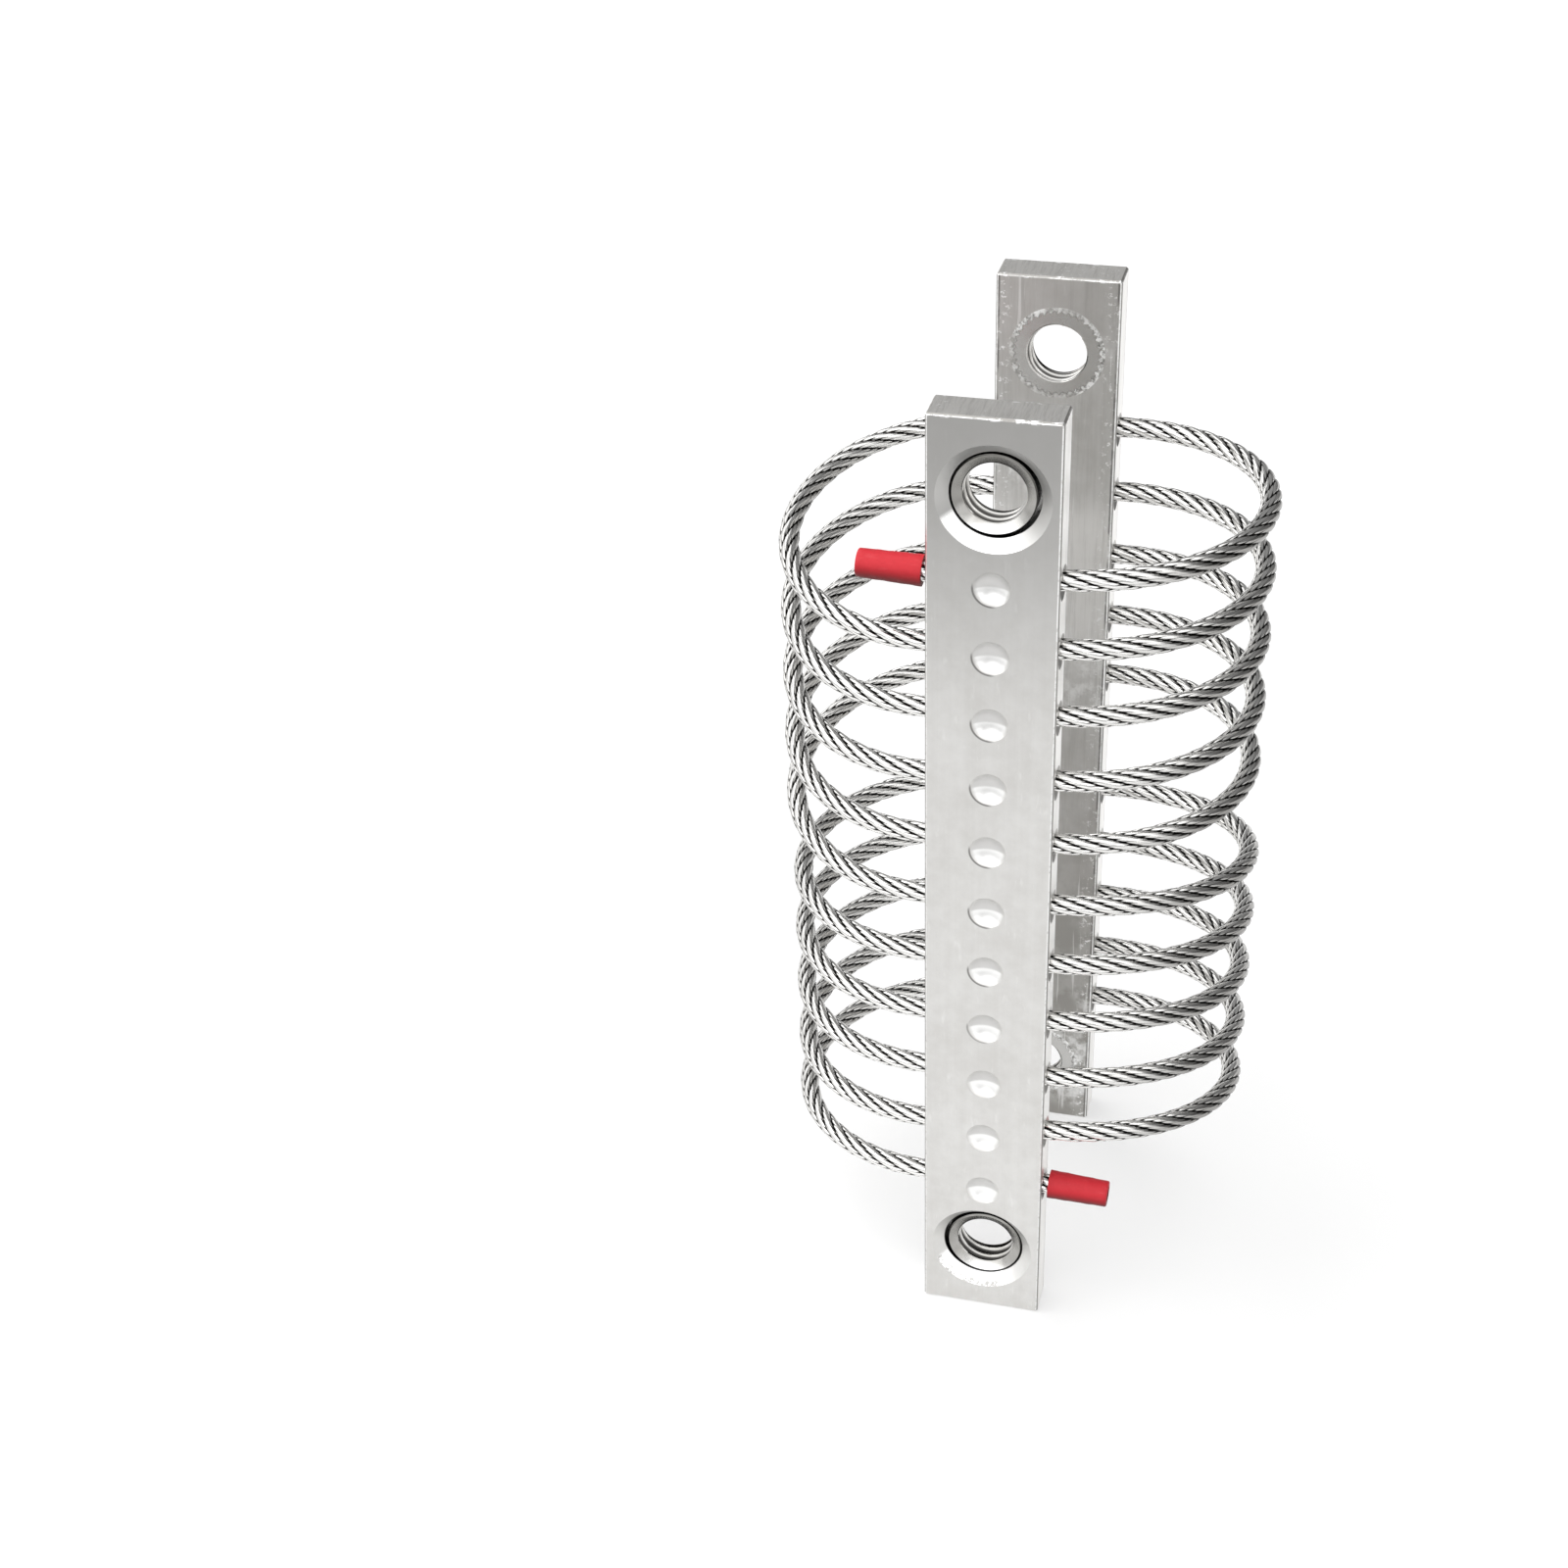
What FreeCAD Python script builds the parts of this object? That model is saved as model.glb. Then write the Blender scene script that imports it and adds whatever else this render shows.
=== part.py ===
import FreeCAD, Part
import math
import os
import Sketcher
from FreeCAD import Placement, Rotation, Vector

# Wire rope isolator: two flat bars, each with two threaded inserts, joined by one
# wire rope that is laced through both bars in open loops. The bars stand on end:
# Z runs along them, Y from the front bar to the rear bar, X to the right.
# The origin is on the standing surface, midway between the bars. Millimetres.

doc = FreeCAD.newDocument("wire_rope_isolator")

# Driving sizes: name, value, what it is.
SIZES = [
    ("bar_length", 152.0, "length of each bar"),
    ("bar_width", 18.0, "width of each bar"),
    ("bar_depth", 6.0, "thickness of each bar"),
    ("bar_gap", 42.0, "clear space between the two bars"),
    ("bar_chamfer", 0.3, "broken edges of the bars"),
    ("hole_margin", 4.75, "first and last rope holes, in from the rims of the countersinks"),
    ("holes_per_side", 5, "rope holes above the middle of a bar, and below it"),
    ("rope_diameter", 3.0, "wire rope, over its strands"),
    ("rope_slant", 2.5, "rise of the rope towards +X, in degrees"),
    ("rope_straight", 0.3, "straight rope between a bar and the start of a loop"),
    ("bore_clearance", 0.1, "play between the slanted rope and its bore"),
    ("mouth_radius", 2.5, "flared mouth of a rope hole"),
    ("mouth_depth", 0.8, "depth of the flare"),
    ("crimp_length", 4.4, "narrow middle of a rope hole, squeezed by the crimp"),
    ("crimp_taper", 0.8, "taper from the bore to its narrow middle"),
    ("crimp_clearance", 0.05, "play between the rope and the narrow middle"),
    ("mark_radius", 2.55, "rim of a crimp mark"),
    ("mark_floor", 1.9, "floor radius of a crimp mark"),
    ("mark_depth", 1.15, "depth of a crimp mark"),
    ("mark_drop", 0.5, "crimp marks sit this far below the rope holes"),
    ("insert_inset", 11.5, "insert axis from the end of its bar"),
    ("insert_bore", 4.2, "minor radius of the insert's M10 thread"),
    ("insert_entry", 4.5, "radius of the thread's chamfered entry"),
    ("insert_dish", 0.35, "how far the shank's end face is dished"),
    ("insert_shank", 6.1, "radius of the insert's shank"),
    ("insert_bevel", 0.3, "bevel at the end of the shank"),
    ("flange_radius", 6.45, "radius of the serrated flange"),
    ("flange_depth", 1.3, "thickness of the flange"),
    ("tooth_count", 38, "serrations round the flange"),
    ("tooth_depth", 0.5, "depth of a serration"),
    ("insert_clearance", 0.05, "play between an insert and its seat"),
    ("sink_radius", 7.75, "countersink on the outer face of a bar"),
    ("sink_depth", 1.65, "depth of that countersink"),
    ("sleeve_length", 9.0, "end sleeve of the rope"),
    ("sleeve_radius", 2.2, "sleeve, at its end near the bar"),
    ("sleeve_tip_radius", 2.0, "sleeve, at its open end"),
    ("sleeve_mouth", 1.15, "opening in the sleeve's outer end"),
    ("sleeve_clearance", 0.06, "play between the rope and its sleeve"),
    ("sleeve_gap", 0.8, "bare rope between a bar and the sleeve"),
    ("rope_end_recess", 1.8, "rope end, in from the sleeve's outer end"),
    ("tail_bend", 4.5, "drop of each rope end against its slant, in degrees"),
    ("tail_bend_radius", 40.0, "radius of that bend"),
    ("tail_bend_start", 5.6, "start of that bend, from the middle of the bar"),
    ("overcut", 0.5, "how far a cutting profile runs past a face"),
]

sheet = doc.addObject("Spreadsheet::Sheet", "Sizes")
for row, (alias, value, meaning) in enumerate(SIZES, start=1):
    sheet.set(f"A{row}", alias)
    sheet.set(f"B{row}", str(value))
    sheet.set(f"C{row}", meaning)
    sheet.setAlias(f"B{row}", alias)
doc.recompute()


def in_sheet(text):
    """Give an expression's names the sheet's prefix, so that any object can use it."""
    for alias in sorted((name for name, _, _ in SIZES), key=len, reverse=True):
        text = text.replace(f"<{alias}>", f"Sizes.{alias}")
    return text


def size(text):
    """The value of an expression over the driving sizes."""
    value = sheet.evalExpression(in_sheet(text))
    return float(getattr(value, "Value", value))


def bind(thing, prop, text):
    thing.setExpression(prop, in_sheet(text))


# Expressions that more than one piece uses.
HALF_WIDTH = "<bar_width> / 2"
HALF_DEPTH = "<bar_depth> / 2"
BAR_OFFSET = "(<bar_gap> + <bar_depth>) / 2"
MIDDLE = "<bar_length> / 2"
FIRST_HOLE = "(<insert_inset> + <sink_radius> + <hole_margin>)"
LAST_HOLE = f"(<bar_length> - {FIRST_HOLE})"
PITCH = f"((<bar_length> - 2 * {FIRST_HOLE}) / (2 * <holes_per_side>))"
ROPE_RADIUS = "<rope_diameter> / 2"
SLANT = "<rope_slant> * 1 deg"
BORE_RADIUS = f"{ROPE_RADIUS} + {HALF_WIDTH} * tan({SLANT}) + <bore_clearance>"
CRIMP_RADIUS = f"{ROPE_RADIUS} + <crimp_length> / 2 * tan({SLANT}) + <crimp_clearance>"
INSERT_LENGTH = "<bar_depth> - <sink_depth>"
TAIL_SLANT = "(<rope_slant> - <tail_bend>) * 1 deg"
BEND_ACROSS = (f"(<tail_bend_start> * cos({SLANT})"
               f" + <tail_bend_radius> * (sin({SLANT}) - sin({TAIL_SLANT})))")
BEND_RISE = (f"(<tail_bend_start> * sin({SLANT})"
             f" + <tail_bend_radius> * (cos({TAIL_SLANT}) - cos({SLANT})))")
SLEEVE_FOOT = f"({HALF_WIDTH} + <sleeve_gap>)"
SLEEVE_RISE = f"({BEND_RISE} + ({SLEEVE_FOOT} - {BEND_ACROSS}) * tan({TAIL_SLANT}))"


def origin_part(body, role):
    """A plane or axis of the body's own origin."""
    for feature in body.Origin.OriginFeatures:
        if feature.Role == role:
            return feature
    raise ValueError(role)


def profile(body, name, plane, corners, rise="0"):
    """A closed sketch through the given corners, moved up its own V axis by rise."""
    sketch = body.newObject("Sketcher::SketchObject", name)
    sketch.AttachmentSupport = [(origin_part(body, plane), "")]
    sketch.MapMode = "FlatFace"
    bind(sketch, "AttachmentOffset.Base.y", rise)
    points = [Vector(size(across), size(up), 0) for across, up in corners]
    for index, point in enumerate(points):
        following = points[(index + 1) % len(points)]
        sketch.addGeometry(Part.LineSegment(point, following), False)
    for index in range(len(points)):
        following = (index + 1) % len(points)
        sketch.addConstraint(Sketcher.Constraint("Coincident", index, 2, following, 1))
    for index, (across, up) in enumerate(corners):
        for kind, text in (("DistanceX", across), ("DistanceY", up)):
            number = sketch.addConstraint(Sketcher.Constraint(kind, -1, 1, index, 1, size(text)))
            bind(sketch, f"Constraints[{number}]", text)
    doc.recompute()
    return sketch


def turned(body, kind, name, sketch):
    """Revolve the sketch round its own horizontal axis, as material or as a cut."""
    feature = body.newObject(f"PartDesign::{kind}", name)
    feature.Profile = sketch
    feature.ReferenceAxis = (sketch, ["H_Axis"])
    feature.Angle = 360
    body.Tip = feature
    doc.recompute()
    return feature


def row_along_bar(body, name, cut, count, length):
    """Repeat a cut in a straight row along the bar."""
    pattern = body.newObject("PartDesign::LinearPattern", name)
    pattern.Originals = [cut]
    pattern.Direction = (origin_part(body, "Z_Axis"), [""])
    bind(pattern, "Length", length)
    bind(pattern, "Occurrences", count)
    body.Tip = pattern
    doc.recompute()
    return pattern


def new_body(label):
    body = doc.addObject("PartDesign::Body", label)
    body.Label = label
    return body


def rope_hole_corners():
    """Half section of a rope hole: flared mouths, a bore and a squeezed middle."""
    outside = f"{HALF_WIDTH} + <overcut>"
    flare = f"{HALF_WIDTH} - <mouth_depth>"
    squeeze = "<crimp_length> / 2"
    taper = f"{squeeze} + <crimp_taper>"
    right = [
        (outside, "<mouth_radius>"),
        (HALF_WIDTH, "<mouth_radius>"),
        (flare, BORE_RADIUS),
        (taper, BORE_RADIUS),
        (squeeze, CRIMP_RADIUS),
    ]
    left = [(f"-({across})", up) for across, up in reversed(right)]
    return [(outside, "0"), *right, *left, (f"-({outside})", "0")]


def make_bar(label, side, hole_groups):
    """A bar with its edges broken, insert seats, rope holes and crimp marks.

    The outer face is at -Y in the body's own frame. Each hole group is a start
    height and a count.
    """
    body = new_body(label)
    corners = [
        (f"-{HALF_WIDTH}", f"-{HALF_DEPTH}"),
        (HALF_WIDTH, f"-{HALF_DEPTH}"),
        (HALF_WIDTH, HALF_DEPTH),
        (f"-{HALF_WIDTH}", HALF_DEPTH),
    ]
    section = profile(body, f"{label}_section", "XY_Plane", corners)
    blank = body.newObject("PartDesign::Pad", f"{label}_blank")
    blank.Profile = section
    bind(blank, "Length", "<bar_length>")
    body.Tip = blank
    doc.recompute()

    edges = body.newObject("PartDesign::Chamfer", f"{label}_edges")
    edges.Base = (blank, [f"Edge{number}" for number in range(1, len(blank.Shape.Edges) + 1)])
    bind(edges, "Size", "<bar_chamfer>")
    body.Tip = edges
    doc.recompute()

    seat_radius = "<insert_shank> + <insert_clearance>"
    flange_seat = "<flange_radius> + <insert_clearance>"
    shoulder = f"{HALF_DEPTH} - <flange_depth>"
    seat_corners = [
        (f"-{HALF_DEPTH} - <overcut>", "0"),
        (f"-{HALF_DEPTH} - <overcut>", "<sink_radius>"),
        (f"-{HALF_DEPTH}", "<sink_radius>"),
        (f"-{HALF_DEPTH} + <sink_depth>", seat_radius),
        (shoulder, seat_radius),
        (shoulder, flange_seat),
        (f"{HALF_DEPTH} + <overcut>", flange_seat),
        (f"{HALF_DEPTH} + <overcut>", "0"),
    ]
    seat = turned(body, "Groove", f"{label}_insert_seat",
                  profile(body, f"{label}_seat_profile", "YZ_Plane", seat_corners, "<insert_inset>"))
    row_along_bar(body, f"{label}_insert_seats", seat, "2", "<bar_length> - 2 * <insert_inset>")

    mark_corners = [
        (f"-{HALF_DEPTH} - <overcut>", "0"),
        (f"-{HALF_DEPTH} - <overcut>", "<mark_radius>"),
        (f"-{HALF_DEPTH}", "<mark_radius>"),
        (f"-{HALF_DEPTH} + <mark_depth>", "<mark_floor>"),
        (f"-{HALF_DEPTH} + <mark_depth>", "0"),
    ]
    for number, (start, count) in enumerate(hole_groups, start=1):
        row_length = f"({count} - 1) * {PITCH}"
        hole = turned(body, "Groove", f"{label}_rope_hole_{number}",
                      profile(body, f"{label}_hole_profile_{number}", "XZ_Plane",
                              rope_hole_corners(), start))
        row_along_bar(body, f"{label}_rope_holes_{number}", hole, count, row_length)
        mark = turned(body, "Groove", f"{label}_crimp_mark_{number}",
                      profile(body, f"{label}_mark_profile_{number}", "YZ_Plane",
                              mark_corners, f"{start} - <mark_drop>"))
        row_along_bar(body, f"{label}_crimp_marks_{number}", mark, count, row_length)

    body.Placement = Placement(Vector(0, 0, 0), Rotation(Vector(0, 0, 1), 0 if side < 0 else 180))
    bind(body, "Placement.Base.y", f"{side} * {BAR_OFFSET}")
    return body


def make_insert(label, side, height):
    """A press-in nut: serrated flange at the inner face, shank towards the outer face."""
    body = new_body(label)
    far_end = f"-({INSERT_LENGTH})"
    entry_depth = "(<insert_entry> - <insert_bore>)"
    corners = [
        ("0", "<insert_entry>"),
        ("0", "<flange_radius>"),
        ("-<flange_depth>", "<flange_radius>"),
        ("-<flange_depth>", "<insert_shank>"),
        (f"{far_end} + <insert_bevel>", "<insert_shank>"),
        (far_end, "<insert_shank> - <insert_bevel>"),
        (f"{far_end} + <insert_dish>", "<insert_entry>"),
        (f"{far_end} + <insert_dish> + {entry_depth}", "<insert_bore>"),
        (f"-{entry_depth}", "<insert_bore>"),
    ]
    turned(body, "Revolution", f"{label}_turned",
           profile(body, f"{label}_profile", "YZ_Plane", corners))

    half_notch = "<flange_radius> * tan(90 deg / <tooth_count>)"
    spread = "(<tooth_depth> + <overcut>) / <tooth_depth>"
    notch_corners = [
        ("0", "<flange_radius> - <tooth_depth>"),
        (f"{half_notch} * {spread}", "<flange_radius> + <overcut>"),
        (f"-{half_notch} * {spread}", "<flange_radius> + <overcut>"),
    ]
    notch = body.newObject("PartDesign::Pocket", f"{label}_notch")
    notch.Profile = profile(body, f"{label}_notch_profile", "XZ_Plane", notch_corners)
    notch.Reversed = True
    bind(notch, "Length", "<flange_depth>")
    body.Tip = notch
    doc.recompute()

    teeth = body.newObject("PartDesign::PolarPattern", f"{label}_teeth")
    teeth.Originals = [notch]
    teeth.Axis = (origin_part(body, "Y_Axis"), [""])
    teeth.Angle = 360
    bind(teeth, "Occurrences", "<tooth_count>")
    body.Tip = teeth

    body.Placement = Placement(Vector(0, 0, 0), Rotation(Vector(0, 0, 1), 0 if side < 0 else 180))
    bind(body, "Placement.Base.y", f"{side} * <bar_gap> / 2")
    bind(body, "Placement.Base.z", height)
    return body


def make_sleeve(label, direction, hole_height):
    """The soft end sleeve on the rope, open at its outer end."""
    body = new_body(label)
    rope_fit = f"{ROPE_RADIUS} + <sleeve_clearance>"
    rope_end = "<sleeve_length> - <rope_end_recess>"
    lip = "(<rope_diameter> / 2 - <sleeve_mouth>)"
    corners = [
        ("0", rope_fit),
        ("0", "<sleeve_radius>"),
        ("<sleeve_length>", "<sleeve_tip_radius>"),
        ("<sleeve_length>", "<sleeve_mouth>"),
        (f"{rope_end} + {lip} + <sleeve_clearance>", "<sleeve_mouth>"),
        (f"{rope_end} + <sleeve_clearance>", rope_fit),
    ]
    turned(body, "Revolution", f"{label}_turned",
           profile(body, f"{label}_profile", "XY_Plane", corners))
    body.Placement = Placement(Vector(0, 0, 0), Rotation(Vector(0, -1, 0), 1))
    bind(body, "Placement.Base.x", f"{direction} * {SLEEVE_FOOT}")
    bind(body, "Placement.Base.y", f"-({BAR_OFFSET})")
    bind(body, "Placement.Base.z", f"{hole_height} + {direction} * {SLEEVE_RISE}")
    turn = "0 deg" if direction > 0 else "180 deg"
    bind(body, "Placement.Rotation.Angle", f"{TAIL_SLANT} + {turn}")
    return body


def rope_passes():
    """Centres of the rope's passes through the bars, in the order it is laced.

    It starts at the top of the front bar and goes back and forth. The rear bar has
    no hole in the middle, so the loops drop on the left above the middle and on
    the right below it.
    """
    side_holes = int(size("<holes_per_side>"))
    offset = size(BAR_OFFSET)
    top = size(LAST_HOLE)
    pitch = size(PITCH)
    front = [Vector(0, -offset, top - step * pitch) for step in range(2 * side_holes + 1)]
    rear = [Vector(0, offset, top - step * pitch) for step in range(2 * side_holes + 1)
            if step != side_holes]
    laced = []
    for front_pass, rear_pass in zip(front, rear):
        laced += [front_pass, rear_pass]
    return laced + [front[-1]]


def heading_at(degrees):
    """The rope's direction towards +X where it rises by an angle."""
    return Vector(math.cos(math.radians(degrees)), 0, math.sin(math.radians(degrees)))


def rope_tail(middle, direction):
    """Where a rope end starts to bend, the bend's edge and its straight end.

    A rope end drops against its slant, on the side of the bar that the direction says.
    """
    slant = size("<rope_slant>")
    bend = size("<tail_bend>")
    radius = size("<tail_bend_radius>")
    start = heading_at(slant) * size("<tail_bend_start>")
    centre = start + Vector(math.sin(math.radians(slant)), 0, -math.cos(math.radians(slant))) * radius
    halfway = centre + heading_at(slant - bend / 2 + 90) * radius
    finish = centre + heading_at(slant - bend + 90) * radius
    beyond = (size(SLEEVE_FOOT) - finish.x) / math.cos(math.radians(slant - bend))
    beyond += size("<sleeve_length> - <rope_end_recess>")
    tip = finish + heading_at(slant - bend) * beyond
    start, halfway, finish, tip = (middle + point * direction for point in (start, halfway, finish, tip))
    return start, Part.Arc(start, halfway, finish).toShape(), Part.LineSegment(finish, tip).toShape()


def rope_route():
    """Edges of the rope's centre line: straight passes joined by half circles."""
    slant = math.radians(size("<rope_slant>"))
    along = heading_at(size("<rope_slant>"))
    reach = size(f"{HALF_WIDTH} + <rope_straight>") / math.cos(slant)
    passes = rope_passes()
    here, first_bend, first_end = rope_tail(passes[0], -1)
    edges = [first_end, first_bend]
    radii = []
    heading = 1
    for current, following in zip(passes, passes[1:]):
        step = following - current
        lean = step.dot(along) * heading
        leave = current + along * heading * (reach + max(lean, 0))
        arrive = following + along * heading * (reach + max(-lean, 0))
        radius = (arrive - leave).Length / 2
        top = (leave + arrive) / 2 + along * heading * radius
        edges.append(Part.LineSegment(here, leave).toShape())
        edges.append(Part.Arc(leave, top, arrive).toShape())
        radii.append(radius)
        here = arrive
        heading = -heading
    last_start, last_bend, last_end = rope_tail(passes[-1], heading)
    edges += [Part.LineSegment(here, last_start).toShape(), last_bend, last_end]
    return edges, radii


def make_rope(label):
    """The wire rope as one plain round bar along its whole route."""
    edges, radii = rope_route()
    route = Part.Wire(edges)
    start = edges[0]
    radius = size(ROPE_RADIUS)
    circle = Part.Circle(start.valueAt(start.LastParameter),
                         start.tangentAt(start.LastParameter), radius)
    section = Part.Wire([circle.toShape()])
    rope = doc.addObject("Part::Feature", label)
    rope.Label = label
    rope.Shape = route.makePipe(Part.Face(section))
    drawn = math.pi * radius ** 2 * route.Length
    print(f"rope length {route.Length:.1f}, radii {min(radii):.2f} to {max(radii):.2f}, "
          f"volume {rope.Shape.Volume:.1f} against {drawn:.1f}")
    if abs(rope.Shape.Volume - drawn) > 0.001 * drawn:
        raise ValueError("the rope's volume is not its section times its length")
    return rope


front_groups = [(FIRST_HOLE, "(2 * <holes_per_side> + 1)")]
rear_groups = [(FIRST_HOLE, "<holes_per_side>"),
               (f"{MIDDLE} + {PITCH}", "<holes_per_side>")]
low = "<insert_inset>"
high = "<bar_length> - <insert_inset>"

pieces = [
    make_bar("front_bar", -1, front_groups),
    make_bar("rear_bar", 1, rear_groups),
    make_insert("front_upper_insert", -1, high),
    make_insert("front_lower_insert", -1, low),
    make_insert("rear_upper_insert", 1, high),
    make_insert("rear_lower_insert", 1, low),
    make_rope("wire_rope"),
    make_sleeve("upper_end_sleeve", -1, LAST_HOLE),
    make_sleeve("lower_end_sleeve", 1, FIRST_HOLE),
]

doc.recompute()
for thing in doc.Objects:
    if "Invalid" in thing.State or "Error" in thing.State:
        raise ValueError(f"{thing.Label} failed: {thing.State}")
for piece in pieces:
    if piece.Shape.isNull() or not piece.Shape.isValid() or len(piece.Shape.Solids) != 1:
        raise ValueError(f"{piece.Label} is not one valid solid")

os.makedirs("parts", exist_ok=True)
for piece in pieces:
    piece.Shape.exportStep(f"parts/{piece.Label}.step")
    print(f"{piece.Label}: volume {piece.Shape.Volume:.1f}, faces {len(piece.Shape.Faces)}")
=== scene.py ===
"""Wire rope isolator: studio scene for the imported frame, in metres."""

import logging
import math
from collections.abc import Callable, Mapping, Sequence
from dataclasses import dataclass, field
from enum import Enum

import bmesh
import bpy
import numpy as np
from mathutils import Matrix, Vector


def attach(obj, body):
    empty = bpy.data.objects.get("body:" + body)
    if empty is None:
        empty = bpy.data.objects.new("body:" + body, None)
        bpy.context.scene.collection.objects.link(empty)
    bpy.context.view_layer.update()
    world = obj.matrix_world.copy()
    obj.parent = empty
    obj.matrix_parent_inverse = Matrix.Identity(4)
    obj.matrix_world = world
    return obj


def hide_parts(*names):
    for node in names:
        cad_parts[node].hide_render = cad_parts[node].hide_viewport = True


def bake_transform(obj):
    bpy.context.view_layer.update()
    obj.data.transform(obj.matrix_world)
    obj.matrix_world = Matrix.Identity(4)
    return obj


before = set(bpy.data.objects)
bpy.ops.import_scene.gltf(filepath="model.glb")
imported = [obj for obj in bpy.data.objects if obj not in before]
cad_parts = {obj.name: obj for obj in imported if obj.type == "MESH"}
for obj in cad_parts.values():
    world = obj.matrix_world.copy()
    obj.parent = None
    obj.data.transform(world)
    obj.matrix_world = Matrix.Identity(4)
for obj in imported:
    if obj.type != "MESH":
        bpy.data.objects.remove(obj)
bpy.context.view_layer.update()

log = logging.getLogger("isolator")
MM = 0.001
FRONT = "front_mount"
REAR = "rear_mount"
SIDES = ((-1, FRONT, "front"), (1, REAR, "rear"))
Colour = tuple[float, float, float]


class Slot(Enum):
    """The record's material slots."""

    BAR = "bar"
    INSERT = "insert"
    ROPE = "rope"
    SLEEVE = "sleeve"


@dataclass(frozen=True)
class BarSizes:
    """The two bars' sizes in mm, which the nuts, rims, dimples and rope follow."""

    length: float = 152.0
    width: float = 18.0
    depth: float = 6.0
    gap: float = 42.0
    chamfer: float = 0.3
    nut_height: float = 11.5
    first_hole: float = 24.0
    mark_drop: float = 0.5
    pitch: float = 10.4
    holes: int = 11

    @property
    def half_length(self) -> float:
        """Half of the length."""
        return self.length / 2

    @property
    def half_width(self) -> float:
        """Half of the width."""
        return self.width / 2

    @property
    def half_depth(self) -> float:
        """Half of the thickness."""
        return self.depth / 2

    @property
    def face_edge(self) -> float:
        """Where the broad faces end, from the middle of the width."""
        return self.half_width - self.chamfer

    @property
    def deep_edge(self) -> float:
        """Where the flanks end, from the middle of the thickness."""
        return self.half_depth - self.chamfer

    @property
    def end_edge(self) -> float:
        """Where the long faces end, from the middle of the length."""
        return self.half_length - self.chamfer

    @property
    def inner_face(self) -> float:
        """How far the faces that look at each other lie from the middle of the isolator."""
        return self.gap / 2

    @property
    def outer_face(self) -> float:
        """How far the outer faces lie from the middle of the isolator."""
        return self.inner_face + self.depth

    @property
    def offset(self) -> float:
        """How far the bars' middles lie from the middle of the isolator."""
        return self.inner_face + self.half_depth

    @property
    def first_mark(self) -> float:
        """Height of the lowest crimp mark."""
        return self.first_hole - self.mark_drop

    @property
    def last_mark(self) -> float:
        """Height of the highest crimp mark."""
        return self.first_mark + (self.holes - 1) * self.pitch

    @property
    def nut_place(self) -> float:
        """How far the nuts lie from the middle of the length."""
        return self.half_length - self.nut_height

    @property
    def nut_seats(self) -> tuple[tuple[str, float], ...]:
        """Each nut's word and height on a bar."""
        return ("upper", self.length - self.nut_height), ("lower", self.nut_height)


BAR = BarSizes()


class Wire:
    """A node's output with arithmetic on it, so that shader maths reads as maths."""

    def __init__(self, graph: "Graph", socket: bpy.types.NodeSocket | None) -> None:
        """Wrap one output socket of the graph, or none where a node has no output."""
        self.graph = graph
        self.socket = socket

    def maths(self, operation: str, *others: "Wire | float", first: "Wire | float | None" = None) -> "Wire":
        """One Math node.

        Args:
            operation: the node's operation.
            others: the values after this one.
            first: a value that goes before this one, for reflected operators.

        Returns:
            The node's result.
        """
        operands = [self, *others] if first is None else [first, self, *others]
        return self.graph.node("ShaderNodeMath", {"operation": operation}, dict(enumerate(operands)))

    def __add__(self, other: "Wire | float") -> "Wire":
        """Sum."""
        return self.maths("ADD", other)

    def __radd__(self, other: float) -> "Wire":
        """Sum with the number first."""
        return self.maths("ADD", other)

    def __sub__(self, other: "Wire | float") -> "Wire":
        """Difference."""
        return self.maths("SUBTRACT", other)

    def __rsub__(self, other: float) -> "Wire":
        """Difference with the number first."""
        return self.maths("SUBTRACT", first=other)

    def __mul__(self, other: "Wire | float") -> "Wire":
        """Product."""
        return self.maths("MULTIPLY", other)

    def __rmul__(self, other: float) -> "Wire":
        """Product with the number first."""
        return self.maths("MULTIPLY", other)

    def __truediv__(self, other: "Wire | float") -> "Wire":
        """Quotient."""
        return self.maths("DIVIDE", other)

    def __pow__(self, other: float) -> "Wire":
        """Power."""
        return self.maths("POWER", other)

    def __abs__(self) -> "Wire":
        """Absolute value."""
        return self.maths("ABSOLUTE")

    def highest(self, other: "Wire | float") -> "Wire":
        """The larger of the two."""
        return self.maths("MAXIMUM", other)

    def lowest(self, other: "Wire | float") -> "Wire":
        """The smaller of the two."""
        return self.maths("MINIMUM", other)

    def sine(self) -> "Wire":
        """Sine of an angle in radians."""
        return self.maths("SINE")

    def off_centre(self, period: float) -> "Wire":
        """Distance from the nearest multiple of the period, with its sign."""
        turns = self / period + 0.5
        return (turns.maths("FRACT") - 0.5) * period

    def step(self, low: float, high: float) -> "Wire":
        """Smooth rise from 0 at low to 1 at high; high may be the smaller one."""
        return self.graph.node(
            "ShaderNodeMapRange",
            {"interpolation_type": "SMOOTHSTEP"},
            {"Value": self, "From Min": low, "From Max": high},
        )


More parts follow.
